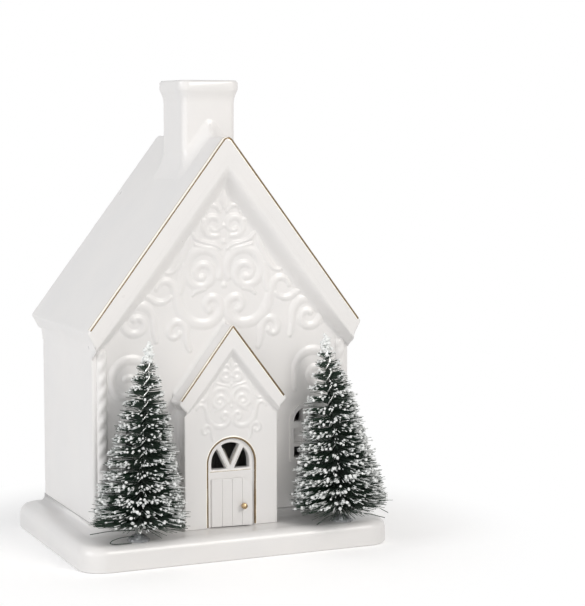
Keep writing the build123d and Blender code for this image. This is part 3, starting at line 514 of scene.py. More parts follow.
def paint(node, material):
    """Gives a CAD node its finish."""
    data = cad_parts[node].data
    data.materials.clear()
    data.materials.append(material)


def weld(node):
    """Joins a CAD node's faces along their edges."""
    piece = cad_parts[node]
    piece.modifiers.new("weld", "WELD").merge_threshold = WELD_REACH * MM
    return piece


def soften(node, width):
    """Rounds a CAD node's sharp edges, as glaze does."""
    piece = weld(node)
    if node in WHOLE_FACED:
        flat = piece.modifiers.new("whole_faces", "DECIMATE")
        flat.decimate_type = "DISSOLVE"
        flat.angle_limit = radians(FLAT_ANGLE)
    if width > 0:
        edge = piece.modifiers.new("soft_edge", "BEVEL")
        edge.use_clamp_overlap = node not in WHOLE_FACED
        edge.width = width * MM
        edge.segments = 3
        edge.limit_method = "ANGLE"
        edge.angle_limit = radians(EDGE_ANGLE)
    shade = piece.modifiers.new("face_shading", "WEIGHTED_NORMAL")
    shade.weight = 80
    shade.keep_sharp = False


def shell(rings):
    """Vertices and faces of a closed solid from rings of equally many points."""
    rings = np.asarray(rings, float)
    count, around = rings.shape[:2]
    faces = []
    for ring in range(count - 1):
        for k in range(around):
            a, b = ring * around + k, ring * around + (k + 1) % around
            faces.append((a, b, b + around, a + around))
    faces.append(tuple(range(around))[::-1])
    faces.append(tuple(range((count - 1) * around, count * around)))
    return rings.reshape(-1, 3), faces


def spokes(ways, sideways, sides):
    """For each way, unit spokes that stand round it, the first of them along sideways."""
    u = unit(sideways)
    v = np.cross(ways, u)
    turn = 2 * pi * np.arange(sides) / sides
    return np.cos(turn)[:, None] * u[:, None] + np.sin(turn)[:, None] * v[:, None]


def tube(points, radius, sides):
    """A closed tube along points."""
    ways = unit(np.gradient(points, axis=0))
    aside = np.array([0.31, 0.83, 0.46])
    return shell(points[:, None] + radius * spokes(ways, aside - ways * (ways @ aside)[:, None], sides))


def stroke_course(stroke, scale, hand, step):
    """Points along a stroke's chain of arcs, and the half width at each."""
    (x, z), heading, arcs, widths, _ = SCROLLS[stroke]
    angle = radians(heading)
    points = [(x, z)]
    for radius, turn in arcs:
        count = max(3, ceil(abs(radians(turn)) * radius * scale / step))
        side = 1 if turn > 0 else -1
        centre_x = x - side * radius * sin(angle)
        centre_z = z + side * radius * cos(angle)
        for part in range(1, count + 1):
            now = angle + radians(turn) * part / count
            points.append((centre_x + side * radius * sin(now), centre_z - side * radius * cos(now)))
        x, z = points[-1]
        angle += radians(turn)
    course = np.array(points) * scale
    course[:, 0] *= hand
    gone = np.concatenate([[0], np.cumsum(np.hypot(*np.diff(course, axis=0).T))])
    return course, np.interp(gone / gone[-1], (0, BAND_MIDDLE, 1), (np.array(widths) + BAND_SWELL) * scale)


def raise_band(height, xs, zs, course, half, relief):
    """Raises a rounded band along a course in the height field."""
    low, high = course.min(0) - half.max(), course.max(0) + half.max()
    columns = np.flatnonzero((xs > low[0]) & (xs < high[0]))
    rows = np.flatnonzero((zs > low[1]) & (zs < high[1]))
    x, z = np.meshgrid(xs[columns], zs[rows])
    best = np.zeros(x.shape)
    for (px, pz), w in zip(course, half):
        np.maximum(best, 1 - ((x - px) ** 2 + (z - pz) ** 2) / w**2, out=best)
    span = np.ix_(rows, columns)
    height[span] = np.maximum(height[span], relief * best)


def rounded(height, radius):
    """The height field after the glaze has softened it. The radius is in steps of the grid."""
    count = max(1, ceil(2 * radius))
    offsets = np.arange(-count, count + 1)
    weights = np.exp(-((offsets / radius) ** 2))
    weights /= weights.sum()
    for axis in (0, 1):
        height = sum(w * np.roll(height, o, axis) for w, o in zip(weights, offsets))
    return height


def relief_field(strokes, scale, relief, sizes):
    """The grid's places across and up, and the heights there of mirrored scroll bands and their beads."""
    step = sizes.grid_step / MM
    bands = []
    for stroke in strokes:
        bead = SCROLLS[stroke][4] * scale
        for hand in (-1, 1):
            course, half = stroke_course(stroke, scale, hand, step)
            bands.append((course, half, relief))
            if bead:
                bands.append((course[-1:], np.array([bead]), relief * BEAD_LIFT))
    for x, z, radius in SCROLL_BEADS:
        bands.append((np.array([(x * scale, z * scale)]), np.array([radius * scale]), relief))
    points = np.concatenate([course for course, _, _ in bands])
    low, high = points.min(0) - RELIEF_MARGIN * scale, points.max(0) + RELIEF_MARGIN * scale
    xs, zs = np.arange(low[0], high[0], step), np.arange(low[1], high[1], step)
    height = np.zeros((len(zs), len(xs)))
    for band in bands:
        raise_band(height, xs, zs, *band)
    return xs, zs, rounded(height, sizes.softening / MM / step)


def relief_solid(xs, zs, height, front, foot):
    """Vertices and faces of a closed low relief that melts into an upright face."""
    raised = height > RELIEF_SUNK / 2
    rows, columns = np.nonzero(raised[:-1, :-1] | raised[1:, :-1] | raised[:-1, 1:] | raised[1:, 1:])
    width = len(xs)
    corner = rows * width + columns
    used, faces = np.unique(
        np.stack([corner, corner + 1, corner + width + 1, corner + width], 1), return_inverse=True
    )
    faces = faces.reshape(-1, 4)
    x, z = np.meshgrid(xs, zs)
    front_face = np.stack([x.ravel(), RELIEF_SUNK - height.ravel(), z.ravel()], 1)[used]
    back_face = front_face.copy()
    back_face[:, 1] = 4 * RELIEF_SUNK
    count = len(used)
    edges = np.concatenate([faces[:, [k, (k + 1) % 4]] for k in range(4)])
    keys = np.sort(edges, 1) @ np.array([count, 1])
    single, times = np.unique(keys, return_counts=True)
    begin, end = edges[np.isin(keys, single[times == 1])].T
    skirts = np.stack([end, begin, begin + count, end + count], 1)
    vertices = np.concatenate([front_face, back_face]) + np.array([0, front, foot])
    return vertices, np.concatenate([faces, faces[:, ::-1] + count, skirts])


def roof_shape(roof):
    """A roof's own values, and its measures in millimetres.

    They are its front, half width and sharp ridge, its walls' face, half width and back, and the apex
    under it.
    """
    pitch, radius = radians(ROOF_PITCH), ROOFS[roof]["radius"]
    low, high = box_mm(roof)
    walls = box_mm(ROOFS[roof]["walls"])[1]
    return {
        **ROOFS[roof],
        "front": low[1],
        "half": high[0],
        "ridge": high[2] + radius * (1 / cos(pitch) - 1),
        "wall": box_mm(ROOFS[roof]["relief"])[1][1],
        "half_wall": walls[0],
        "back": walls[1],
        "under": low[2] + walls[0] * tan(pitch),
    }


def roof_skin(shape, x):
    """Height of a roof's outside at x, and the sideways and upward parts of its normal there."""
    pitch, radius = radians(ROOF_PITCH), shape["radius"]
    side = np.clip(x / radius, -sin(pitch), sin(pitch))
    rounded_top = shape["ridge"] - radius / cos(pitch) + radius * np.sqrt(1 - side**2)
    z = np.where(np.abs(x) < radius * sin(pitch), rounded_top, shape["ridge"] - np.abs(x) * tan(pitch))
    return z, side, np.sqrt(1 - side**2)


def brush_line(edge, first, second, bevel, low, high, rng, unsteady=1.0):
    """A painted line along a rounded edge. Low and high are its limits across it, from first to second."""
    count = len(edge)
    even = np.ones(LINE_STEADY) / LINE_STEADY
    waver, swell = [
        np.convolve(rng.normal(0, size * unsteady, count + LINE_STEADY - 1), even, "valid")
        for size in (LINE_WAVER, LINE_SWELL)
    ]
    quarter = bevel * pi / 4
    rings = []
    for k in range(count):
        middle, half = (low + high) / 2 + waver[k], (high - low) / 2 * (1 + swell[k])
        top, under = [], []
        for share in np.linspace(-1, 1, 7):
            across = middle + half * share
            turn = np.clip(across / max(bevel, 0.01) + pi / 4, 0, pi / 2)
            normal = cos(turn) * first[k] + sin(turn) * second[k]
            point = edge[k] - bevel * (first[k] + second[k]) + bevel * normal
            point = point - second[k] * max(-quarter - across, 0) - first[k] * max(across - quarter, 0)
            top.append(point + normal * LINE_PROUD * (1.1 - share**4))
            under.append(point - normal * LINE_ROOT)
        rings.append(top + under[::-1])
    return shell(rings)


def hollow(first_leg, second_leg, power=2.0, root=0.2):
    """Section of a plain hollow: offsets along the corner's two faces, ending inside the ceramic."""
    arc = [(first_leg * (1 - t) ** power, second_leg * t**power) for t in np.linspace(0, 1, 13)]
    return arc + [(-root, second_leg * 0.8), (-root, -root), (first_leg * 0.8, -root)]


def swept_step(leg, deep, strip, lap=0.8, root=0.2):
    """Section of a soft step from a wall up to a roof's front face, which it carries on by a flat strip."""
    arc = [(leg - (leg - strip) * t, deep * t * t * (3 - 2 * t)) for t in np.linspace(0, 1, 25)]
    return arc + [(-lap, deep), (-lap, deep - 2 * root), (0.0, -root), (leg * 0.8, -root)]


def pitched_cove(apex, facing, section, half, soft, end):
    """Glaze along a corner that falls both ways from an apex. Facing is 1 below a roof and -1 above it."""
    pitch = radians(ROOF_PITCH)
    inmost = min(a for a, _ in section)
    rings = []
    for share in np.linspace(-1, 1, 121):
        x = half * np.sign(share) * abs(share) ** 1.4
        bent = hypot(x, soft)
        lap = (bent - abs(x)) * sin(pitch) if facing > 0 else 0
        narrow = 1 - (1 - end) * max(0, abs(share) * 2 - 1) ** 2
        ring = []
        for a, b in section:
            a = a * narrow if a > 0 else a - lap * (a <= inmost)
            ring.append((x, apex[0] - b, apex[1] - bent * tan(pitch) - facing * a / cos(pitch)))
        rings.append(ring)
    return shell(rings)


def tree_axis(side):
    """A tree's foot, and its upward, sideways and backward directions."""
    low, high = box_mm(f"{side}_tree_foot")
    lean = radians(TREES[side]["lean"])
    up, across = np.array([sin(lean), 0, cos(lean)]), np.array([cos(lean), 0, -sin(lean)])
    return np.array([*(low + high)[:2] / 2, low[2]]), up, across, np.cross(up, across)


class VILLAGE_OT_glaze(bpy.types.Operator):
    """Glaze the ceramic pieces and soften their edges"""

    bl_idname = "village.glaze"
    bl_label = "Glaze the House"

    def execute(self, context):
        glaze = porcelain(context.scene.village_finish)
        for node, width in CERAMIC_EDGES.items():
            paint(node, glaze)
            soften(node, width)
        return {"FINISHED"}


class VILLAGE_OT_coves(bpy.types.Operator):
    """Fill the inner corners of the ceramic with soft hollows of glaze"""

    bl_idname = "village.coves"
    bl_label = "Fill the Corners"

    def execute(self, context):
        house, porch = roof_shape("roof"), roof_shape("porch_roof")
        parts = []
        for shape in (house, porch):
            section = swept_step(shape["leg"], shape["wall"] - shape["front"] + STEP_PROUD, shape["strip"])
            apex = (shape["wall"], shape["under"])
            half = shape["half_wall"] - 0.1
            parts.append(pitched_cove(apex, 1, section, half, shape["soft"], STEP_END))
            parts += self.eaves(shape, shape["leg"] / 2)
        valley = hollow(VALLEY_LEG, VALLEY_LEG)
        ridge = (house["wall"], porch["ridge"] - 0.2)
        parts.append(pitched_cove(ridge, -1, valley, porch["half"] - 1.2, 0.6, 1.0))
        foot, eave = box_mm("porch_walls")[0][2], box_mm("porch_roof")[0][2]
        for hand in (-1, 1):
            corner = hollow(CHEEK_LEG, CHEEK_LEG)
            cheek = [(hand * (porch["half_wall"] + a), house["wall"] - b) for a, b in corner]
            parts.append(shell([[(x, y, z) for x, y in cheek] for z in (foot, eave)]))
        parts.append(self.chimney_foot(house))
        add_piece("glaze_coves", parts, bpy.data.materials["porcelain_glaze"])
        return {"FINISHED"}

    def eaves(self, shape, leg):
        """The hollows under the eaves, where a roof's lower edge runs into the side walls."""
        pitch = radians(ROOF_PITCH)
        corner = np.array([shape["half_wall"], shape["under"] - shape["half_wall"] * tan(pitch)])
        rim = np.array([shape["half"], shape["ridge"] - shape["half"] * tan(pitch)]) - corner
        rim /= np.linalg.norm(rim)
        rings = []
        for y in (*np.linspace(shape["front"] + 0.6, shape["wall"], 9), shape["back"]):
            share = min(1, (y - shape["front"]) / (shape["wall"] - shape["front"]))
            section = hollow(leg * (0.2 + 0.8 * share**1.5), leg * (0.5 + 0.3 * share))
            rings.append([(*(corner + a * np.array([0, -1]) + b * rim), y) for a, b in section])
        return [
            shell([[(hand * x, y, z) for x, z, y in ring] for ring in rings[::hand]]) for hand in (-1, 1)
        ]

    def chimney_foot(self, house):
        """The hollow round the foot of the chimney, which follows the roof's two slopes."""
        low, high = box_mm("chimney")
        corner, cap, flashing = 3.0, 2.0, 3.0
        half = np.array([high[0] - cap, (high[1] - low[1]) / 2 - flashing])
        centre = (low[1] + high[1]) / 2
        outline = []
        for quarter, sign in enumerate(((1, 1), (-1, 1), (-1, -1), (1, -1))):
            for a in np.linspace(0, pi / 2, 9) + quarter * pi / 2:
                way = np.array([cos(a), sin(a)])
                outline.append((np.array(sign) * (half - corner) + corner * way, way))
        section = hollow(1.0, 1.0, 1.45, 0.1)
        rings = []
        for (x, y), (across, along) in self.filled(outline + outline[:1]):
            wide, tall = 3.4 + 2.0 * along**2 + 4.0 * abs(across * along), 8.6 - 0.6 * across**2
            ring = []
            for out, lift in section:
                px, py = x + across * wide * out, y + along * wide * out
                ring.append((px, centre + py, roof_skin(house, px)[0] + tall * lift))
            rings.append(ring)
        return shell(rings)

    def filled(self, outline, gap=1.5):
        """The outline's points with its straight sides divided."""
        closer = []
        for (point, way), (other, other_way) in zip(outline, outline[1:]):
            pieces = ceil(max(hypot(*(other - point)), 0.1) / gap)
            for k in range(pieces):
                closer.append((point + (other - point) * k / pieces, way + (other_way - way) * k / pieces))
        return closer + outline[-1:]


class VILLAGE_OT_scrollwork(bpy.types.Operator):
    """Mould the scroll relief of the gable and of the porch"""

    bl_idname = "village.scrollwork"
    bl_label = "Mould the Scrollwork"

    def execute(self, context):
        sizes = context.scene.village_relief
        glaze = bpy.data.materials["porcelain_glaze"]
        for name, (roof, height, strokes, share, drop) in RELIEFS.items():
            node = ROOFS[roof]["relief"]
            scale = box_mm(ROOFS[roof]["walls"])[1][0] * share / DRAWN_HALF_WIDTH
            field = relief_field(strokes, scale, getattr(sizes, height) / MM, sizes)
            solid = relief_solid(*field, box_mm(node)[1][1], box_mm(roof)[0][2] - drop)
            add_piece(name, [solid], glaze, node)
        return {"FINISHED"}


class VILLAGE_OT_ropes(bpy.types.Operator):
    """Twist the ropes up the front corners"""

    bl_idname = "village.ropes"
    bl_label = "Twist the Ropes"

    def execute(self, context):
        pitch = context.scene.village_relief.rope_pitch / MM
        low, high = box_mm("corner_ropes")
        back = high[1] + ROPE_ROOT
        count = int((high[2] - low[2]) / ROPE_RING) + 1
        parts = []
        for hand in (-1, 1):
            axis = hand * (high[0] - ROPE_WIDTH / 2)
            rings = []
            for z in np.linspace(high[2], low[2], count):
                near_end = min(1, (high[2] - z) / ROPE_TOP_END, (z - low[2]) / ROPE_FOOT_END + 0.5)
                full = sqrt(1 - (1 - max(near_end, 0)) ** 2)
                ring = []
                for a in np.linspace(0, pi, 29):
                    swell = full * (0.74 + 0.26 * sin(pi * z / pitch - a) ** 2)
                    x = axis - ROPE_WIDTH / 2 * cos(a) * (0.82 + 0.18 * swell)
                    ring.append((x, back - (back - low[1]) * sin(a) * swell, z))
                rings.append(ring)
            parts.append(shell(rings))
        glaze = bpy.data.materials["porcelain_glaze"]
        add_piece("rope_twists", parts, glaze, "corner_ropes")
        return {"FINISHED"}


class VILLAGE_OT_gilding(bpy.types.Operator):
    """Paint the gold lines along the roofs and round the door, with painted shade and painted highlights on
    them, and gild the knob
    """

    bl_idname = "village.gilding"
    bl_label = "Paint the Gold"

    def execute(self, context):
        finish = context.scene.village_finish
        # The dark gold is painted shade on the lines and the sheen a painted highlight; the pale gold is
        # the mean of the two
        gold = fired_gold("fired_gold", finish.gold, 0.62)
        sheen = fired_gold("fired_gold_painted_highlight", finish.gold_painted_highlight, 0.93)
        pale = fired_gold("fired_gold_pale", (Vector(finish.gold) + Vector(finish.gold_painted_highlight)) / 2, 0.75)
        width = context.scene.village_relief.gold_width / MM
        rng = np.random.default_rng(SEED)
        for roof in ROOFS:
            self.roof_lines(roof, gold, pale, sheen, width, rng)
        self.door_lines(gold, pale, sheen, width, rng)
        paint("door_knob", fired_gold("fired_gold_knob", finish.gold_knob, 0.6))
        turned = weld("door_knob").modifiers.new("turned", "SUBSURF")
        turned.levels = turned.render_levels = 2
        return {"FINISHED"}

    def roof_lines(self, roof, gold, pale, sheen, width, rng):
        """The gold band on a roof's front edge: a dark line, darkened as painted shade, a painted highlight
        beside it, and the hairline that ends it.
        """
        edge, slope = self.rake(roof)
        front = np.tile((0.0, -1.0, 0.0), (len(edge), 1))
        left, right = edge[:, 0] < 0.3, edge[:, 0] > -0.3
        band = ROOFS[roof]["band"]
        # The line is darkened as painted shade, and the sheen is a painted highlight on the gold band
        layers = (
            ("line", gold, [(left, -0.55 * width, 0.12 * width), (right, -0.9 * width, 0.55 * width)]),
            ("sheen", sheen, [(left, 0.1 * width, band), (right, -1.4 * width, -0.88 * width)]),
            ("hairline", pale, [(left, band - 0.05, band + 0.6)]),
        )
        for layer, material, runs in layers:
            parts = [
                brush_line(edge[run], front[run], slope[run], CERAMIC_EDGES[roof], low, high, rng, 0.4)
                for run, low, high in runs
            ]
            node = ROOFS[roof]["gilding"] if layer == "line" else None
            add_piece(f"{roof}_gold_{layer}", parts, material, node)

    def rake(self, roof, gap=0.7):
        """Points of a roof's sharp front edge from eave to eave, and the slope's normal at each."""
        shape = roof_shape(roof)
        round_half = shape["radius"] * sin(radians(ROOF_PITCH))
        end = shape["half"] - 0.8
        run = np.linspace(round_half, end, ceil((end - round_half) / gap))
        x = np.concatenate([-run[::-1], np.linspace(-round_half, round_half, 15)[1:-1], run])
        z, across, upward = roof_skin(shape, x)
        edge = np.stack([x, np.full(len(x), shape["front"]), z], 1)
        return edge, np.stack([across, np.zeros(len(x)), upward], 1)

    def door_lines(self, gold, pale, sheen, width, rng):
        """The line round the door's arch, darkened as painted shade, a painted highlight beside it, and
        thin lines on the transom and the fan's bars.
        """
        low, high = box_mm("door_gilding")
        wall = roof_shape("porch_roof")["wall"]
        spring, points = high[2] - high[0], 40
        jamb = np.linspace(low[2], spring, points)
        turn = np.linspace(pi, 0, points + 1)[1:-1]
        side = np.full(points, ARCH_RADIUS)
        x = np.concatenate([-side, ARCH_RADIUS * np.cos(turn), side])
        z = np.concatenate([jamb, spring + ARCH_RADIUS * np.sin(turn), jamb[::-1]])
        inward = unit(np.stack([-x, 0 * x, np.minimum(spring - z, 0)], 1))
        edge = np.stack([x, np.full(len(x), wall), z], 1)
        front = np.tile((0.0, -1.0, 0.0), (len(x), 1))
        bevel = CERAMIC_EDGES["porch_walls"]
        arch = brush_line(edge, front, inward, bevel, -0.85 * width, 0.2 * width, rng)
        add_piece("door_gold_line", [arch], gold, "door_gilding")
        # A painted highlight along the outside of the arch's gold line
        rim = brush_line(edge, front, inward, bevel, -1.3 * width, -0.8 * width, rng, 0.5)
        add_piece("door_gold_painted_highlight", [rim], sheen)
        parts = []
        for begin, end, wide in self.fan_strokes():
            course = begin + (end - begin) * np.linspace(0, 1, 30)[:, None]
            way = (end - begin) / np.linalg.norm(end - begin)
            places = np.stack([course[:, 0], np.full(30, wall + FAN_DEPTH), course[:, 1]], 1)
            across = np.tile((way[1], 0.0, -way[0]), (30, 1))
            parts.append(brush_line(places, front, across, 0.0, -wide / 2, wide / 2, rng))
        add_piece("fanlight_gold_lines", parts, pale)

    def fan_strokes(self):
        """Begin, end and width of the line on the transom and of those along the fan's bars."""
        reach = ARCH_RADIUS - 1.2
        strokes = [(np.array([-reach, TRANSOM]), np.array([reach, TRANSOM]), 0.9)]
        for hand in (-1, 1):
            way = np.array([hand * sin(radians(FAN_LEAN)), cos(radians(FAN_LEAN))])
            side = np.array([way[1], -way[0]])
            for offset in (-FAN_BAR_HALF, FAN_BAR_HALF):
                begin = np.array([0, TRANSOM + 1.4]) + side * offset + way * 1.4
                strokes.append((begin, begin + way * (ARCH_RADIUS - 2.6), 0.3))
        return strokes


class VILLAGE_OT_trees(bpy.types.Operator):
    """Make the brush trees: twisted wires, fibres, snow and glued feet"""

    bl_idname = "village.trees"
    bl_label = "Make the Trees"

    def execute(self, context):
        sizes = context.scene.village_trees
        fibre = tree_fibre(sizes)
        grey = [c * 0.86 for c in sizes.snow]
        snow = cloudy_finish(
            "tree_flock", sizes.snow, grey, 1.8, 0.08, 0.22, roughness=0.85, sheen_weight=0.2
        )
        bright, dull = (0.86, 0.87, 0.85), (0.72, 0.74, 0.71)
        wire = cloudy_finish("tree_steel", bright, dull, 3, 0.01, metallic=1.0, roughness=0.24)
        clear, milky = (0.80, 0.82, 0.84), (0.68, 0.71, 0.74)
        glue = cloudy_finish(
            "tree_glue_clear", clear, milky, 4, 0.05, roughness=0.18, transmission_weight=0.7
        )
        for side in TREES:
            rng = np.random.default_rng(SEED + len(side))
            self.wires(side, sizes, wire)
            self.brush(side, sizes, fibre, snow, rng)
            self.glued_foot(side, glue, rng)
        return {"FINISHED"}

    def twist(self, side, sizes, level):
        """The wires' turn at a height above the foot."""
        return 2 * pi * level / (sizes.wire_pitch / MM) + TREES[side]["turn"]

    def wires(self, side, sizes, material):
        """Two wires twisted together, from the socket in the base to just under the tip."""
        foot, up, across, depth = tree_axis(side)
        low, high = box_mm(f"{side}_tree_stem")
        level = np.arange((low[2] - foot[2]) / up[2] + 0.4, (high[2] - foot[2]) / up[2] - 3.0, 0.7)
        radius = np.interp(level, (3, 7, level[-1] - 12, level[-1]), (0.56, 1.25, 1.1, 0.7))
        parts = []
        for half_turn in (0, pi):
            turn = self.twist(side, sizes, level) + half_turn
            offset = np.cos(turn)[:, None] * across + np.sin(turn)[:, None] * depth
            parts.append(tube(foot + level[:, None] * up + radius[:, None] * offset, WIRE_RADIUS, 7))
        add_piece(f"{side}_tree_wires", parts, material, f"{side}_tree_stem")

    def brush(self, side, sizes, fibre, snow, rng):
        """Fibres held between the twisted wires and cut to a cone, some with snow."""
        foot, up, _, _ = tree_axis(side)
        top = (box_mm(f"{side}_tree_brush")[1][2] - foot[2]) / up[2] - BRUSH_TIP_ROOM
        high = 1 - np.sqrt(rng.uniform(0.012, 1, sizes.fibres))
        level = BRUSH_BOTTOM + (top - BRUSH_BOTTOM) * high
        in_row = rng.random(len(high)) < IN_ROW
        courses = self.fibre_courses(side, sizes, high, level, in_row, top, rng)
        parts = self.strands(courses, sizes.fibre_radius / MM * FIBRE_TAPER, 3)
        parts += [self.stray(foot, np.array(bends, float)) for bends in TREES[side]["strays"]]
        add_piece(f"{side}_tree_fibres", parts, fibre, f"{side}_tree_brush")
        parts = self.snow_parts(side, sizes, courses, high, level, in_row, top, rng)
        add_piece(f"{side}_tree_snow", parts, snow)

    def fibre_courses(self, side, sizes, high, level, in_row, top, rng):
        """The bends of each fibre, from the wires to its end."""
        foot, up, across, depth = tree_axis(side)
        full, count = TREES[side]["reach"], len(high)
        turn = self.twist(side, sizes, level) + pi / 2 + pi * rng.integers(0, 2, count)
        turn += rng.normal(0, 1, count) * np.where(in_row, ROW_SPREAD, LOOSE_SPREAD)
        rise = rng.normal(0.03, 0.042, count) + 0.3 * high**4
        flat_way = np.cos(turn)[:, None] * across + np.sin(turn)[:, None] * depth
        way = flat_way * np.cos(rise)[:, None] + np.sin(rise)[:, None] * up
        start = foot + level[:, None] * up
        cone = full * np.interp(high, BRUSH_HEIGHTS, BRUSH_REACHES)
        long = rng.random(count) < 0.07
        ragged = np.where(long, rng.uniform(0.98, 1.05, count), rng.uniform(0.84, 0.96, count))
        run = np.maximum(self.reach(start, way, cone * ragged), 1.0)
        sag = rng.normal(0.4, 0.5, count) * (run / full) ** 2
        lowest = level < BRUSH_BOTTOM + 3.0
        sag[lowest] = rng.uniform(-1.0, 1.0, lowest.sum())
        courses = start[:, None] + way[:, None] * (run[:, None] * FIBRE_BENDS)[:, :, None]
        courses[:, :, 2] -= sag[:, None] * FIBRE_BENDS**2
        courses[:, :, 2] = np.clip(courses[:, :, 2], foot[2] + 0.4, foot[2] + (top + 0.6) * up[2])
        return courses

    def reach(self, start, way, cone):
        """How far each fibre runs before the cone, the base's side, the wall or the porch stops it."""
        porch_low, porch_high = box_mm("porch_roof")
        wall = box_mm("corner_ropes")[0][1] - 0.8
        porch_side, porch_front = porch_high[0] + 1.0, porch_low[1] - 1.0
        forward = np.maximum(way[:, 1], 1e-6)
        side_room = box_mm("base")[1][0] - 1.2 - np.abs(start[:, 0])
        outward = np.maximum(np.sign(start[:, 0]) * way[:, 0], 1e-6)
        run = np.minimum(cone, side_room / outward)
        run = np.where(way[:, 1] > 0, np.minimum(run, (wall - start[:, 1]) / forward), run)
        inward = -start[:, 0] * way[:, 0] > 0
        to_side = (np.abs(start[:, 0]) - porch_side) / np.maximum(np.abs(way[:, 0]), 1e-6)
        to_front = np.where(way[:, 1] > 0, (porch_front - start[:, 1]) / forward, cone)
        return np.where(inward, np.minimum(run, np.maximum(to_side, to_front)), run)

    def snow_parts(self, side, sizes, courses, high, level, in_row, top, rng):
        """Frosted ends of fibres, beads on some of them, and a cap of snow on the tip."""
        tree = TREES[side]
        crown = np.clip((high - CROWN_START) / CROWN_BLEND, 0, 1)
        dry = np.clip((level - BRUSH_BOTTOM - 1.5) / 4, 0, 1)
        frosted = rng.random(len(high)) < (tree["snow"] + (1 - tree["snow"]) * crown) * dry
        ends, high, crown = courses[frosted], high[frosted], crown[frosted]
        share = rng.uniform(0.08, 0.3, len(ends)) * (1 - crown) + 0.9 * crown
        coats = np.stack([self.along(ends, 1 - share * k) for k in (1.0, 0.66, 0.33, 0.0)], 1)
        snowy = in_row[frosted] | (crown > 0.3) | (rng.random(len(ends)) < LOOSE_SNOW)
        beaded = snowy & (rng.random(len(ends)) < BEADED)
        bend, tip = ends[beaded, 2], ends[beaded, 3]
        tips = tip - (tip - bend) * rng.uniform(0, 0.35, (len(tip), 1))
        radii = sizes.bead_radius / MM * tree["grain"] * rng.uniform(0.7, 1.2, len(tips))
        radii *= 1.1 - 0.3 * high[beaded]
        foot, up, _, _ = tree_axis(side)
        cap_level = np.arange(top - CAP_HEIGHT, top - BRUSH_TIP_ROOM, 0.12)
        loose = np.interp(cap_level, (top - CAP_HEIGHT, top - 5, top), (1.2, 1.1, 0.4))
        cap = foot + cap_level[:, None] * up + rng.normal(0, 1, (len(cap_level), 3)) * loose[:, None]
        cap_radii = rng.uniform(0.6, 1.0, len(cap))
        grains = self.beads(np.concatenate([tips, cap]), np.concatenate([radii, cap_radii]), rng)
        return [*self.strands(coats, COAT_RADII, 5), grains]

    def along(self, courses, share):
        """The points at these shares of the fibres' courses."""
        places = np.clip((share - FIBRE_BENDS[:-1, None]) / np.diff(FIBRE_BENDS)[:, None], 0, 1)
        legs = np.diff(courses, axis=1)
        return courses[:, 0] + sum(legs[:, k] * places[k][:, None] for k in range(3))

    def stray(self, foot, bends):
        """A long stray fibre through a few bends."""
        share = np.linspace(0, len(bends) - 1, 8 * len(bends))
        smooth = np.stack([np.interp(share, range(len(bends)), bends[:, k]) for k in range(3)], 1)
        for _ in range(12):
            smooth[1:-1] = (smooth[:-2] + 2 * smooth[1:-1] + smooth[2:]) / 4
        return tube(foot + smooth, STRAY_RADIUS, 5)

    def strands(self, courses, radii, sides):
        """Thin closed strands along courses of equally many bends, with a radius at each bend."""
        ways = unit(courses[:, -1] - courses[:, 0])
        ring = spokes(ways, np.cross(ways, np.array([0.2, 0.1, 1.0])), sides)
        return [shell(strand) for strand in courses[:, :, None] + ring[:, None] * radii[:, None, None]]

    def beads(self, centres, radii, rng):
        """Lumpy grains of snow."""
        bpy.ops.mesh.primitive_ico_sphere_add(subdivisions=2, radius=1)
        ball = bpy.context.object
        shape = np.array([v.co for v in ball.data.vertices])
        skin = np.array([p.vertices for p in ball.data.polygons])
        bpy.data.meshes.remove(ball.data)
        lumps = 1 + 0.14 * rng.standard_normal((len(centres), len(shape), 1))
        stretch = rng.uniform(0.8, 1.25, (len(centres), 1, 3))
        vertices = centres[:, None] + shape[None] * lumps * stretch * radii[:, None, None]
        faces = (np.arange(len(centres)) * len(shape))[:, None, None] + skin[None]
        return vertices.reshape(-1, 3), faces.reshape(-1, 3)

    def glued_foot(self, side, material, rng):
        """A set drop of clear glue round the stem."""
        low, high = box_mm(f"{side}_tree_foot")
        centre, radius, tall = (low + high) / 2, (high[0] - low[0]) / 2, high[2] - low[2]
        wobble = rng.normal(0, 1, 2)
        rings = []
        for share in np.linspace(0, 1, 14):
            ring = []
            for a in np.linspace(0, 2 * pi, 40, endpoint=False):
                lump = 1 + 0.05 * (wobble[0] * sin(2 * a) + wobble[1] * cos(3 * a)) * (1 - share)
                r = radius * min(1.0, lump) * 0.97 * (1 - 0.72 * share**1.6)
                ring.append((centre[0] + r * cos(a), centre[1] + r * sin(a), low[2] + tall * share**0.75))
            rings.append(ring)
        add_piece(f"{side}_tree_glue", [shell(rings)], material, f"{side}_tree_foot")


class VILLAGE_OT_light_unit(bpy.types.Operator):
    """Finish the battery light in the base"""

    bl_idname = "village.light_unit"
    bl_label = "Finish the Light"

    def execute(self, context):
        for name, (colour, other, size, depth, values, nodes) in LIGHT_FINISHES.items():
            material = cloudy_finish(name, colour, other, size, depth, **values)
            for node in nodes:
                paint(node, material)
        for node in ("battery_box", "battery_cover", "switch_slider", "switch_body"):
            soften(node, LIGHT_UNIT_EDGE)
        return {"FINISHED"}


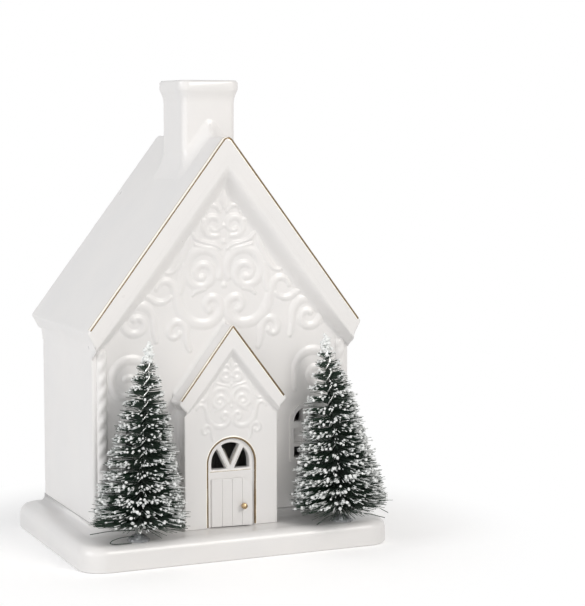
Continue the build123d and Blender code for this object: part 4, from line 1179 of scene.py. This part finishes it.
class VILLAGE_OT_stage(bpy.types.Operator):
    """Set the pale floor, the soft light and the camera"""

    bl_idname = "village.stage"
    bl_label = "Set the Stage"

    def execute(self, context):
        settings = context.scene.village_stage
        context.scene.view_settings.view_transform = "Standard"
        self.floor(settings)
        self.surroundings(context, settings)
        for name, (spot, size, power, colour) in SOFTBOXES.items():
            self.softbox(name, Vector(spot), size, power, colour)
        self.camera(context, settings)
        return {"FINISHED"}

    def seen(self, tree):
        """1 for rays that show a thing as it is: straight to the camera, mirrored, or through glass."""
        path = add_node(tree, "ShaderNodeLightPath").outputs
        inputs = {0: path["Is Camera Ray"], 1: path["Is Glossy Ray"]}
        plain = add_node(tree, "ShaderNodeMath", inputs, operation="ADD").outputs[0]
        inputs = {0: plain, 1: path["Is Transmission Ray"]}
        return add_node(tree, "ShaderNodeMath", inputs, operation="ADD", use_clamp=True).outputs[0]

    def floor(self, settings):
        """A wide pale floor that keeps the house's shadow and runs out into plain white."""
        material, tree, shader = new_material("pale_floor", roughness=0.9, emission_color=(1, 1, 1, 1))
        where, seen = place(tree), self.seen(tree)
        tone = blend_colours(tree, cloudy(tree, where, 400), (0.9, 0.9, 0.9), (0.91, 0.91, 0.91))
        lift = spread(tree, seen, 0.0, settings.floor_lift)
        feed(tree, shader, base_color=tone, emission_strength=lift)
        away = add_node(tree, "ShaderNodeVectorMath", {0: where}, operation="LENGTH").outputs["Value"]
        inputs = {"Value": away, "From Min": FLOOR_FADE[0] * MM, "From Max": FLOOR_FADE[1] * MM}
        fade = add_node(tree, "ShaderNodeMapRange", inputs, interpolation_type="SMOOTHSTEP")
        inputs = {0: fade.outputs["Result"], 1: seen}
        plain = add_node(tree, "ShaderNodeMath", inputs, operation="MULTIPLY").outputs[0]
        white = add_node(tree, "ShaderNodeEmission").outputs[0]
        mixed = add_node(tree, "ShaderNodeMixShader", {0: plain, 1: shader.outputs[0], 2: white})
        tree.links.new(mixed.outputs[0], tree.nodes["Material Output"].inputs["Surface"])
        half = FLOOR_HALF
        corners = [(-half, -half, 0), (half, -half, 0), (half, half, 0), (-half, half, 0)]
        mesh = bpy.data.meshes.new("floor")
        mesh.from_pydata(corners, [], [(0, 1, 2, 3)])
        mesh.materials.append(material)
        floor = bpy.data.objects.new("floor", mesh)
        bpy.context.scene.collection.objects.link(floor)

    def surroundings(self, context, settings):
        """Even white light from all round, and plain white behind the house."""
        world = bpy.data.worlds.new("surroundings")
        context.scene.world = world
        world.use_nodes = True
        tree = world.node_tree
        back = tree.nodes["Background"]
        back.inputs["Color"].default_value = (1, 1, 1, 1)
        feed(tree, back, strength=spread(tree, self.seen(tree), settings.sky, 1.0))

    def softbox(self, name, spot, size, power, colour):
        """A square soft light aimed at the house."""
        data = bpy.data.lights.new(name, "AREA")
        data.color = colour
        data.size = size
        data.energy = power
        light = bpy.data.objects.new(name, data)
        light.location = spot
        light.rotation_euler = (LIGHT_AIM - spot).to_track_quat("-Z", "Y").to_euler()
        bpy.context.scene.collection.objects.link(light)

    def camera(self, context, settings):
        """The photograph's view."""
        data = bpy.data.cameras.new("photo_camera")
        data.sensor_width = SENSOR
        data.lens = settings.focal_pixels / max(PHOTO_SIZE) * SENSOR
        data.clip_start, data.clip_end = 0.05, 50
        camera = bpy.data.objects.new("photo_camera", data)
        a, e = settings.azimuth, settings.elevation
        back = Vector((sin(a) * cos(e), -cos(a) * cos(e), sin(e)))
        camera.location = Vector(settings.target) + back * settings.distance
        camera.rotation_euler = (-back).to_track_quat("-Z", "Y").to_euler()
        context.scene.collection.objects.link(camera)
        context.scene.camera = camera


class VILLAGE_PT_panel(bpy.types.Panel):
    """Lists the steps that dress the house"""

    bl_idname = "VILLAGE_PT_panel"
    bl_label = "Village House"
    bl_space_type = "VIEW_3D"
    bl_region_type = "UI"
    bl_category = "Village House"

    def draw(self, context):
        for operator in OPERATORS:
            self.layout.operator(operator.bl_idname)
        for name in SETTINGS:
            group = getattr(context.scene, name)
            box = self.layout.box()
            for prop in group.bl_rna.properties:
                if prop.identifier not in ("rna_type", "name"):
                    box.prop(group, prop.identifier)


SETTINGS = {
    "village_finish": HouseFinish,
    "village_relief": ReliefSizes,
    "village_trees": TreeSizes,
    "village_stage": StageSettings,
}
OPERATORS = (
    VILLAGE_OT_glaze,
    VILLAGE_OT_coves,
    VILLAGE_OT_scrollwork,
    VILLAGE_OT_ropes,
    VILLAGE_OT_gilding,
    VILLAGE_OT_trees,
    VILLAGE_OT_light_unit,
    VILLAGE_OT_stage,
)


def register():
    """Makes the settings, the operators and the panel known."""
    for name, group in SETTINGS.items():
        bpy.utils.register_class(group)
        setattr(bpy.types.Scene, name, bpy.props.PointerProperty(type=group))
    for operator in (*OPERATORS, VILLAGE_PT_panel):
        bpy.utils.register_class(operator)


def unregister():
    """Takes them away again."""
    for operator in (*OPERATORS, VILLAGE_PT_panel):
        bpy.utils.unregister_class(operator)
    for name, group in SETTINGS.items():
        delattr(bpy.types.Scene, name)
        bpy.utils.unregister_class(group)


def main():
    """Dresses the house."""
    register()
    bpy.ops.village.glaze()
    bpy.ops.village.coves()
    bpy.ops.village.scrollwork()
    bpy.ops.village.ropes()
    bpy.ops.village.gilding()
    bpy.ops.village.trees()
    bpy.ops.village.light_unit()
    bpy.ops.village.stage()


if __name__ == "__main__":
    main()
